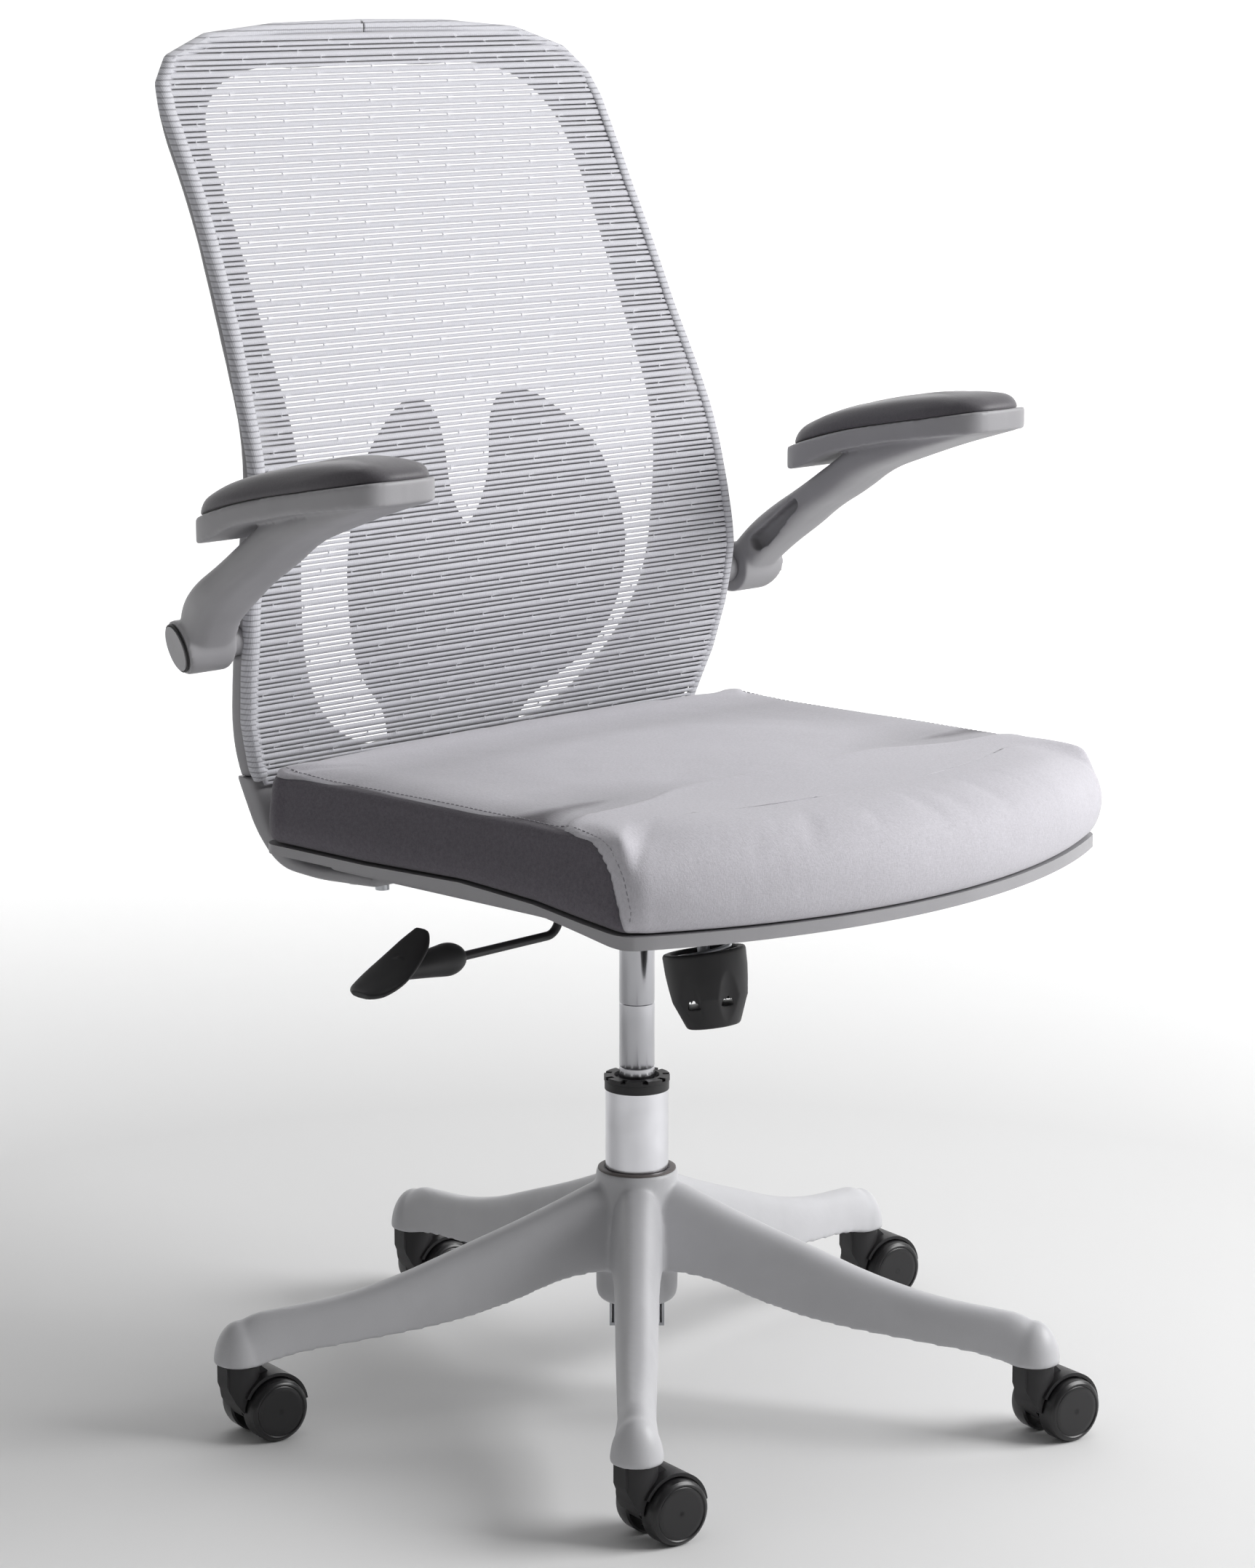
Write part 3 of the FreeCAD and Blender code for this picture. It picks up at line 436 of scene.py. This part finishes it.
# profile of the cover from its lower edge upwards and inwards: outward offset (mm), share of its height
SIDE_PROFILE = [(-1.0, 0), (1.2, 0.10), (2.8, 0.26), (3.4, 0.45), (2.9, 0.62), (1.6, 0.80), (-0.2, 0.92),
                (-2.8, 0.965), (-7, 0.975), (-14, 0.978), (-28, 0.980), (-48, 0.982)]
FRONT_PROFILE = [(-9, 0), (-3, 0.10), (1.5, 0.214), (4.3, 0.357), (4.6, 0.486), (2.6, 0.643), (-3, 0.757),
                 (-10, 0.843), (-20, 0.907), (-33, 0.948), (-50, 0.972), (-70, 0.982)]
COVER_TOP = mm(531)
COVER_CENTRE = np.array(mm(0, -80))
ACROSS, DEEP = 96, 74        # cells of the cover along its front and along each side
OUTLINE_RAYS = 1800


def cover_outline():
    """The cushion's plan outline, read from its CAD solid, from the front right corner anticlockwise."""
    tree = surface_of(NODES["seat_cushion"])
    low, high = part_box("seat_cushion")
    middle = (COVER_CENTRE[0], COVER_CENTRE[1], low.z + 0.5 * (high.z - low.z))
    turns = np.arange(OUTLINE_RAYS) * 2 * pi / OUTLINE_RAYS
    points = np.array([hit(tree, middle, (cos(t), sin(t), 0)).xy for t in turns])
    corners = [int(np.argmax(points @ np.array(way))) for way in ((1, -1), (1, 1), (-1, 1), (-1, -1))]
    points = np.roll(points, -corners[0], axis=0)
    ends = [(c - corners[0]) % OUTLINE_RAYS for c in corners] + [OUTLINE_RAYS]
    points = np.vstack([points, points[:1]])
    sides = [along_line(points[a:b + 1], cells) for a, b, cells in
             zip(ends, ends[1:], (DEEP, ACROSS, DEEP, ACROSS))]
    return np.vstack(sides)


def along_line(points, count):
    """Evenly spaced points along an open line, without its last point."""
    steps = np.r_[0, np.cumsum(np.linalg.norm(np.diff(points, axis=0), axis=1))]
    places = np.linspace(0, steps[-1], count, endpoint=False)
    return np.column_stack([np.interp(places, steps, points[:, i]) for i in range(points.shape[1])])


def patch(ring, first, crown):
    """Grid that spans a ring of points. Gives its inner points and its faces, numbered after the ring's."""
    u, v = np.arange(ACROSS + 1), np.arange(DEEP + 1)
    total = len(ring)
    right, rear = v, DEEP + u
    left, front = 2 * DEEP + ACROSS - v, (2 * DEEP + 2 * ACROSS - u) % total
    su, sv = (u / ACROSS)[:, None, None], (v / DEEP)[None, :, None]
    grid = (1 - sv) * ring[front][:, None] + sv * ring[rear][:, None]
    grid = grid + (1 - su) * ring[right][None] + su * ring[left][None]
    grid = grid - (1 - su) * (1 - sv) * ring[front[0]] - su * (1 - sv) * ring[front[-1]]
    grid = grid - (1 - su) * sv * ring[rear[0]] - su * sv * ring[rear[-1]]
    dome = (1 - (2 * su - 1) ** 2) ** 2 * (1 - (2 * sv - 1) ** 2) ** 2
    grid[:, :, 2] += (crown * dome)[:, :, 0]
    number = np.zeros((ACROSS + 1, DEEP + 1), int)
    number[0], number[-1], number[:, 0], number[:, -1] = right, left, front, rear
    inner = grid[1:-1, 1:-1].reshape(-1, 3)
    number[1:-1, 1:-1] = first + np.arange(len(inner)).reshape(ACROSS - 1, DEEP - 1)
    faces = [(number[i, j], number[i, j + 1], number[i + 1, j + 1], number[i + 1, j])
             for i in range(ACROSS) for j in range(DEEP)]
    return inner, faces


def cover_rows(outline):
    """Rings of points from the bottom edge to the shoulder, and the heights of the bottom edge.

    Small offsets step along the outline's normals; deep ones run towards the centre, so corners don't cross.
    """
    tree = surface_of(NODES["seat_cushion"])
    normals = outward(outline)
    inward = COVER_CENTRE - outline
    inward /= np.linalg.norm(inward, axis=1)[:, None]
    slant = np.clip(-(inward * normals).sum(1), 0.72, 1.0)
    front = np.clip((-normals[:, 1] - 0.15) / 0.5, 0, 1)
    front = front * front * (3 - 2 * front)
    probes = COVER_CENTRE + (outline - COVER_CENTRE) * 0.985
    lower = np.array([hit(tree, (x, y, 0.30), (0, 0, 1)).z + 0.0006 for x, y in probes])
    rows = []
    for (side_out, side_up), (front_out, front_up) in zip(SIDE_PROFILE, FRONT_PROFILE):
        out = mm(1) * (side_out * (1 - front) + front_out * front)
        up = side_up * (1 - front) + front_up * front
        step = np.where((out >= -0.003)[:, None], normals * out[:, None], -inward * (out / slant)[:, None])
        rows.append(np.column_stack([outline + step, lower + (COVER_TOP - lower) * up]))
    return rows, lower


def panel_value(x, y, z):
    """Distance to the sewn seam, positive on the dark side panel."""
    below = between(y / MM, SEAM_TOP) * MM - z
    behind = y - between(z / MM, SEAM_FRONT) * MM
    return min(below, behind)


def make_cushion():
    outline = cover_outline()
    rows, lower = cover_rows(outline)
    ring = len(outline)
    tuck = np.column_stack([COVER_CENTRE + (outline - COVER_CENTRE) * 0.95, lower + mm(0.6)])
    points = np.concatenate([tuck] + rows)
    faces = grid_faces(len(rows) + 1, ring, closed_columns=True)
    last = len(points) - ring
    top, top_faces = patch(rows[-1], len(points), mm(3.5))
    faces += [tuple(int(i) + last if i < ring else int(i) for i in face) for face in top_faces]
    points = np.vstack([points, top])
    base, base_faces = patch(tuck, len(points), mm(0.4))
    faces += [tuple(int(i) for i in face)[::-1] for face in base_faces]
    first_base = len(points)
    points = np.vstack([points, base])
    obj = make_object("seat_cushion_cover", points, faces)
    values = [panel_value(*point) for point in points]
    held = list(range(ring * HELD_RINGS)) + list(range(first_base, len(points)))
    puffed(obj, held, pressure=4.0, cap=mm(4))
    obj.data.attributes.new("panel", "FLOAT", "POINT").data.foreach_set("value", values)
    subdivide(obj)
    sew_seam(obj)
    dressed(obj, "seat_fabric", "seat", "seat_cushion")
    return obj


SEAM_FOOT = mm(478)          # below this height the cover stays as it is


def sew_seam(obj):
    """Pull the cover in along the seam and let it swell and ripple a little beside it, in millimetres."""
    mesh = obj.data
    count = len(mesh.vertices)
    values = np.zeros(count, np.float32)
    mesh.attributes["panel"].data.foreach_get("value", values)
    places, normals = np.zeros(count * 3, np.float32), np.zeros(count * 3, np.float32)
    mesh.vertices.foreach_get("co", places)
    mesh.vertex_normals.foreach_get("vector", normals)
    places, normals = places.reshape(-1, 3), normals.reshape(-1, 3)
    away = np.abs(values) / MM
    close = np.array([smooth_noise(p, 38.0) for p in places])
    broad = np.array([smooth_noise(p, 9.0) for p in places])
    depth = -1.5 * np.exp(-(away / 2.0) ** 2) + 0.5 * np.exp(-((away - 7) / 4.5) ** 2)
    depth += close * 0.35 * np.exp(-away / 30) + broad * 0.8
    depth[places[:, 2] < SEAM_FOOT] = 0.0
    mesh.vertices.foreach_set("co", (places + normals * (depth * MM)[:, None]).astype(np.float32).ravel())
    mesh.update()


# topstitching down the front corner, in millimetres
STITCH_NOSE = [(251.5, -188, 534), (253.5, -203, 533), (256.5, -219, 529), (259, -231, 523), (261, -241, 513),
               (262, -247, 503), (262, -251, 491), (262, -254, 479), (262, -254, 468)]
# rings of one stitch: share of its length, share of its radius
STITCH_RINGS = [(0.0, 0.45), (0.12, 0.9), (0.5, 1.0), (0.88, 0.9), (1.0, 0.45)]
STITCH_SIDES = 6


def stitch_path(tree, side):
    """Places of the topstitching: along the top beside the seam, then down the front corner."""
    path = [(side * 250.5, y, 534) for y in range(128, -180, -8)]
    path += [(side * x, y, z) for x, y, z in STITCH_NOSE]
    return [tree.find_nearest(Vector(mm(*p)))[0] for p in path]


def stitches(path, length, gap, radius):
    """Short thread capsules laid end to end along a path."""
    points = np.array([tuple(p) for p in path])
    steps = np.r_[0, np.cumsum(np.linalg.norm(np.diff(points, axis=0), axis=1))]

    def place(travel):
        return np.array([np.interp(travel, steps, points[:, i]) for i in range(3)])

    capsule = grid_faces(len(STITCH_RINGS), STITCH_SIDES, closed_columns=True)
    last_ring = (len(STITCH_RINGS) - 1) * STITCH_SIDES
    vertices, faces = [], []
    for start in np.arange(0, steps[-1] - length, length + gap):
        a, b = place(start), place(start + length)
        along = (b - a) / np.linalg.norm(b - a)
        side = np.cross(along, (0.3, 0.2, 0.93))
        side /= np.linalg.norm(side)
        other = np.cross(along, side)
        first = len(vertices)
        for share, size in STITCH_RINGS:
            for k in range(STITCH_SIDES):
                turn = 2 * pi * k / STITCH_SIDES
                vertices.append(a + (b - a) * share + (side * cos(turn) + other * sin(turn)) * radius * size)
        faces += [tuple(first + i for i in f) for f in capsule]
        faces.append(tuple(first + k for k in range(STITCH_SIDES))[::-1])
        faces.append(tuple(first + last_ring + k for k in range(STITCH_SIDES)))
    return vertices, faces


def make_stitching(cushion):
    tree = surface_of(cushion)
    vertices, faces = [], []
    for side in (-1, 1):
        more, their = stitches(stitch_path(tree, side), mm(3.4), mm(1.6), mm(0.55))
        faces += [tuple(i + len(vertices) for i in f) for f in their]
        vertices += more
    dressed(make_object("seat_topstitching", vertices, faces), "seat_fabric", "seat", material="thread")


# ---- back ----
SLOT = mm(1.1)
SLOT_SPACINGS = mm(3.6, 4.1, 5.5)
TIE = mm(1.0)                # width of the yarns that cross a slot
TIE_PITCH = mm(8)
TIE_EVERY = 13               # one place in this many keeps its tie
YARN = mm(0.8)
YARN_CROWN = mm(0.45)
AHEAD = -0.2                 # y in front of the whole back, from which rays start
BACKWARDS = (0, 1, 0)


def back_outline(tree, count=260):
    """Right half of the mesh's edge, from the bottom up to the middle of the top, as (x, z)."""
    centre = Vector((0, 0, 0.80))

    def on_mesh(spot):
        return hit(tree, (spot.x, AHEAD, spot.z), BACKWARDS) is not None

    points = []
    for i in range(count + 1):
        turn = -pi / 2 + pi * i / count
        direction = Vector((cos(turn), 0, sin(turn) * 1.25)).normalized()
        steps = [0.20 + step * 0.01 for step in range(60)]
        inner = max([0.0] + [far for far in steps if on_mesh(centre + direction * far)])
        outer = inner + 0.01
        for _ in range(12):
            middle = (inner + outer) / 2
            if on_mesh(centre + direction * middle):
                inner = middle
            else:
                outer = middle
        spot = centre + direction * inner
        points.append((spot.x, spot.z))
    return points


def mesh_rows(bottom, top):
    """Heights of the mesh's rows, and what lies above each: half a band of yarn, or a slot."""
    rows, kinds = [], []
    z, turn = bottom, 0
    while z < top:
        band = SLOT_SPACINGS[turn % 3] - SLOT
        rows += [z, z + band / 2, z + band]
        kinds += ["band", "band", "slot"]
        z += band + SLOT
        turn += 1
    return rows, kinds[:-1]


def mesh_columns(widest):
    """Places across the mesh as shares of its half width: the middle, both sides of each tie, the edges."""
    marks = [0.0]
    for i in range(int(widest / TIE_PITCH)):
        centre = (i + 0.5) * TIE_PITCH
        marks += [centre - TIE / 2, centre + TIE / 2]
    return np.array(sorted(set([-m for m in marks] + marks + [-widest, widest]))) / widest


def make_back_mesh():
    """The slotted mesh, cut from the face of its CAD node. Gives its edge and its surface."""
    tree = surface_of(NODES["back_mesh"])
    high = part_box("back_mesh")[1]
    edge = back_outline(tree)
    right = sorted((z, x) for x, z in edge if x > 0.001)
    rows, kinds = mesh_rows(mm(508), edge[-1][1] - mm(3) - mm(6))
    widest = high.x
    marks = mesh_columns(widest)
    vertices = []
    for r, z in enumerate(rows):
        half = half_width(z, right) - mm(2)
        lift = YARN_CROWN if r % 3 == 1 else 0.0
        for share in marks:
            x = share * half
            face = hit(tree, (x * 0.998, AHEAD, min(z, high.z - 0.001)), BACKWARDS)
            y = face.y if face is not None else vertices[-1][1]
            vertices.append((x, y - lift, z))
    columns = len(marks)
    faces = []
    for r, kind in enumerate(kinds):
        for c in range(columns - 1):
            if kind == "slot":
                narrow = (marks[c + 1] - marks[c]) * widest < TIE * 1.5
                tie = narrow and (c // 2 * 5 + r // 3 * 7) % TIE_EVERY == 0
                if not tie and 0 < c < columns - 2:
                    continue
            a = r * columns + c
            faces.append((a, a + 1, a + columns + 1, a + columns))
    obj = make_object("back_mesh_fabric", vertices, faces)
    thick = obj.modifiers.new("thickness", "SOLIDIFY")
    thick.thickness = YARN
    thick.offset = -1.0
    apply_modifiers(obj)
    dressed(obj, "mesh_fabric", "seat", "back_mesh")
    return edge, tree


def half_width(z, right):
    """Half width of the back at a height, from its outline."""
    return float(np.interp(z, [p[0] for p in right], [p[1] for p in right]))


# section of the bound edge: outward and backward offsets (mm) from the edge of the mesh's face
EDGE_SECTION = [(-10, -0.5), (-6, -1.1), (-3, -1.0), (-0.8, 0.2), (0.7, 2.4), (1.2, 5.0), (1.1, 7.6),
                (0.2, 8.8), (-1.4, 8.2), (-1.6, 4.5), (-3.4, 1.6), (-10, 0.9)]


def make_back_edge(edge, tree):
    right = [(x, z) for x, z in edge if z > mm(509) and x > 0]
    loop = right + [(-x, z) for x, z in reversed(right)]
    vertices = []
    y = None
    for i, (x, z) in enumerate(loop):
        before, after = loop[max(0, i - 2)], loop[min(len(loop) - 1, i + 2)]
        out = Vector((after[1] - before[1], 0, before[0] - after[0])).normalized()
        face = hit(tree, (x * 0.985, AHEAD, z - mm(1.5) if z > mm(520) else z + mm(1)), BACKWARDS)
        if face is not None:
            y = face.y
        for outward_mm, back_mm in EDGE_SECTION:
            vertices.append((x + out.x * mm(outward_mm), y + mm(back_mm), z + out.z * mm(outward_mm)))
    ring = len(EDGE_SECTION)
    faces = grid_faces(len(loop), ring, closed_columns=True, flip=True)
    faces.append(tuple(range(ring)))
    faces.append(tuple(range((len(loop) - 1) * ring, len(loop) * ring))[::-1])
    obj = make_object("back_mesh_edge", vertices, faces)
    dressed(obj, "mesh_fabric", "seat", material="mesh_edge")


# ---- arms ----
# rings of the pad's cover from its seam up: share of the outline's size, share of the crown's height
PAD_RINGS = [(1.0, 0.0), (1.0, 0.16), (0.985, 0.36), (0.955, 0.55), (0.90, 0.71), (0.82, 0.83), (0.72, 0.905),
             (0.58, 0.955), (0.42, 0.985), (0.24, 1.0)]
PAD_COLUMNS = 96
PAD_HALF_WIDTH = mm(41)
# height of the pad's crown above its seam at each y, in millimetres
PAD_HEIGHT = [(-95, 13.5), (-80, 18.5), (-50, 20.5), (-10, 21.0), (30, 20.5), (70, 20.5), (95, 19.5),
              (114, 17)]


def make_arm_pad(side):
    """Domed pad over the tray: steep sides, a soft shoulder and a long gentle crown."""
    node_name = "arm_pad_" + side
    tree = surface_of(NODES[node_name])
    low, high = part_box(node_name)
    sign = 1 if side == "left" else -1
    centre = np.array(((low.x + high.x) / 2, (low.y + high.y) / 2))
    half_x, half_y = (high.x - low.x) / 2, (high.y - low.y) / 2
    lean = (half_x - PAD_HALF_WIDTH) / half_y * -sign
    outline = []
    for i in range(PAD_COLUMNS):
        turn = 2 * pi * i / PAD_COLUMNS
        c, s = cos(turn), sin(turn)
        across = PAD_HALF_WIDTH * abs(c) ** (2 / 3.4) * (1 if c > 0 else -1)
        along = half_y * abs(s) ** (2 / 3.8) * (1 if s > 0 else -1)
        outline.append((centre[0] + across + lean * along, centre[1] + along))
    outline = np.array(outline)
    rows = []
    for inward_share, rise in PAD_RINGS:
        row = []
        for point in outline:
            place = centre + (point - centre) * inward_share
            crown = rise * between(place[1] / MM, PAD_HEIGHT) * MM
            row.append((place[0], place[1], seam_height(tree, centre, place) + crown))
        rows.append(row)
    under = []
    for share in (0.3, 0.97):
        places = [centre + (point - centre) * share for point in outline]
        under.append([(*place, seam_height(tree, centre, place) + mm(0.2)) for place in places])
    points = np.concatenate([np.array(r) for r in under + rows])
    faces = grid_faces(len(under) + len(rows), PAD_COLUMNS, closed_columns=True)
    faces.append(tuple(range(PAD_COLUMNS))[::-1])
    faces.append(tuple(range(len(points) - PAD_COLUMNS, len(points))))
    obj = make_object("arm_pad_cover_" + side, points, faces)
    puffed(obj, list(range(PAD_COLUMNS * HELD_RINGS)), pressure=3.0, cap=mm(1.2))
    subdivide(obj)
    dressed(obj, "arm_pad_fabric", "arm_" + side, node_name)


def seam_height(tree, centre, place):
    """Height of the seam between pad and tray at a plan point; it only changes along the arm."""
    spot = centre + (place - centre) * 0.97
    return hit(tree, (centre[0], spot[1], 0.5), (0, 0, 1)).z


def ring_piece(name, centre, axis, section, turns=72):
    """A closed ring: its section is (radius, height) points in millimetres about an axis."""
    facing = Vector(axis).normalized().to_track_quat("Z", "Y")
    vertices = []
    for i in range(turns):
        turn = 2 * pi * i / turns
        vertices += [Vector(centre) + facing @ Vector((mm(r) * cos(turn), mm(r) * sin(turn), mm(h)))
                     for r, h in section]
    faces = grid_faces(turns, len(section), closed_rows=True, closed_columns=True)
    return make_object(name, vertices, faces)


def cap_axis(node_name, sign):
    """Outward direction and centre of a knuckle cap's outer face, averaged over its outward facets."""
    total, place, area = Vector(), Vector(), 0.0
    for polygon in NODES[node_name].data.polygons:
        if polygon.normal.x * sign > 0.8:
            total += polygon.normal * polygon.area
            place += polygon.center * polygon.area
            area += polygon.area
    return total.normalized(), place / area


def make_cap_shade_ring(side):
    sign = 1 if side == "left" else -1
    axis, centre = cap_axis("arm_cap_" + side, sign)
    # a black ring in the gap round the knuckle cap: painted shade where the gap between cap and shell looks
    # dark
    section = [(17.6, -2.2), (19.0, -2.2), (19.0, -0.9), (17.6, -0.9)]
    dressed(ring_piece("arm_cap_gap_painted_shade_" + side, centre, axis, section), "black_plastic", "arm_" + side)


def make_hub_ring():
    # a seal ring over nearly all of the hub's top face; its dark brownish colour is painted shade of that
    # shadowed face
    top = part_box("star_base")[1].z
    section = [(25.8, -0.4), (31.0, -0.4), (31.0, 0.6), (30.2, 1.0), (26.6, 1.0), (25.8, 0.6)]
    ring = ring_piece("hub_seal_and_painted_shade", (0, 0, top), (0, 0, 1), section)
    dressed(ring, "black_plastic", "base", material="hub_cap")


def make_arms():
    for side in ("left", "right"):
        make_cap_shade_ring(side)
        make_skin("arm_shell_" + side, "arm_shell_skin_" + side, 1.6, 9, "frame_plastic", "arm_" + side)
        make_arm_pad(side)


# ---- mouldings ----
# CAD node, name of its skin, voxel in millimetres, rounds of smoothing, finish, body
MOULDINGS = [
    ("star_base", "star_base_skin", 1.8, 10, "base_plastic", "base"),
    ("back_leg_left", "back_leg_skin_left", 1.5, 6, "frame_plastic", "seat"),
    ("back_leg_right", "back_leg_skin_right", 1.5, 6, "frame_plastic", "seat"),
    ("back_frame", "back_frame_skin", 2.0, 8, "frame_plastic", "seat"),
    ("lever_paddle", "lever_paddle_skin", 0.9, 5, "black_plastic", "lever"),
    ("tension_knob", "tension_knob_skin", 0.9, 5, "black_plastic", "knob"),
]


# ---- stage, light and camera ----
FLOOR_FRONT, CURVE_START, CURVE_RADIUS, BACKDROP_TOP = -6.0, 2.2, 1.8, 7.0
FLOOR_HALF_WIDTH = 8.0
CURVE_STEPS = 12


def make_stage():
    """Pale floor that curves up into a backdrop behind the chair, as the camera sees it."""
    profile = [(FLOOR_FRONT, 0.0), (CURVE_START, 0.0)]
    for i in range(1, CURVE_STEPS + 1):
        bend = pi / 2 * i / CURVE_STEPS
        profile.append((CURVE_START + CURVE_RADIUS * sin(bend), CURVE_RADIUS - CURVE_RADIUS * cos(bend)))
    profile.append((CURVE_START + CURVE_RADIUS, BACKDROP_TOP))
    c, s = cos(radians(-45)), sin(radians(-45))
    vertices = []
    for along, up in profile:
        for across in (-FLOOR_HALF_WIDTH, FLOOR_HALF_WIDTH):
            vertices.append((across * c - along * s, across * s + along * c, up))
    floor = make_object("studio_floor", vertices, grid_faces(len(profile), 2))
    material, tree, shader = new_material("studio_paper", Roughness=0.9, Specular_IOR_Level=0.1)
    tone = noise_of(tree, object_place(tree), 2.0)
    paper = mixed(tree, tone, (0.76, 0.76, 0.76, 1), (0.78, 0.78, 0.78, 1))
    tree.links.new(paper, shader.inputs["Base Color"])
    # the paper glows more with distance, so that it fades to white
    reach = node(tree, "VectorMath", {0: object_place(tree)}, operation="LENGTH").outputs["Value"]
    shader.inputs["Emission Color"].default_value = (1.0, 1.0, 1.0, 1.0)
    tree.links.new(ranged(tree, reach, 0.0, 0.62, 0.9, 2.6), shader.inputs["Emission Strength"])
    floor.data.materials.append(material)


def aim(obj, place, target):
    """Stand an object at a place and point it at a target."""
    obj.location = place
    obj.rotation_euler = (Vector(target) - Vector(place)).to_track_quat("-Z", "Y").to_euler()


LIGHT_TARGET = (0, 0, 0.5)
# name, place, size (m), power (W)
LIGHTS = [
    ("key", (2.1, -2.5, 2.2), (2.4, 2.0), 145),
    ("top", (0.3, -0.2, 3.4), (2.4, 2.4), 26),
    ("left", (-2.6, 0.6, 1.6), (1.2, 1.8), 3),
]


def make_lights():
    world = bpy.data.worlds.new("studio")
    bpy.context.scene.world = world
    world.use_nodes = True
    background = world.node_tree.nodes["Background"]
    background.inputs["Color"].default_value = (1.0, 1.0, 1.0, 1.0)
    background.inputs["Strength"].default_value = 0.12
    for name, place, size, power in LIGHTS:
        light = bpy.data.lights.new(name, "AREA")
        light.shape = "RECTANGLE"
        light.size, light.size_y = size
        light.energy = power
        aim(linked(name, light), place, LIGHT_TARGET)


CAMERA_PLACE = (-2.380, -2.380, 1.161)
CAMERA_TARGET = (0.0, 0.0, 0.501)
LENS, SENSOR = 100.8, 36.0   # millimetres
SHIFT_PIXELS = -12.9
IMAGE_TALL = 2156            # pixels


def make_camera():
    data = bpy.data.cameras.new("camera")
    data.lens = LENS
    data.sensor_width = SENSOR
    data.shift_x = SHIFT_PIXELS / IMAGE_TALL
    camera = linked("camera", data)
    aim(camera, CAMERA_PLACE, CAMERA_TARGET)
    bpy.context.scene.camera = camera


def main():
    make_camera()
    make_stage()
    make_lights()
    dress_cad_nodes()
    cushion = make_cushion()
    make_stitching(cushion)
    edge, tree = make_back_mesh()
    make_back_edge(edge, tree)
    make_arms()
    make_hub_ring()
    for moulding in MOULDINGS:
        make_skin(*moulding)
    bpy.context.scene.view_settings.view_transform = "Standard"


main()
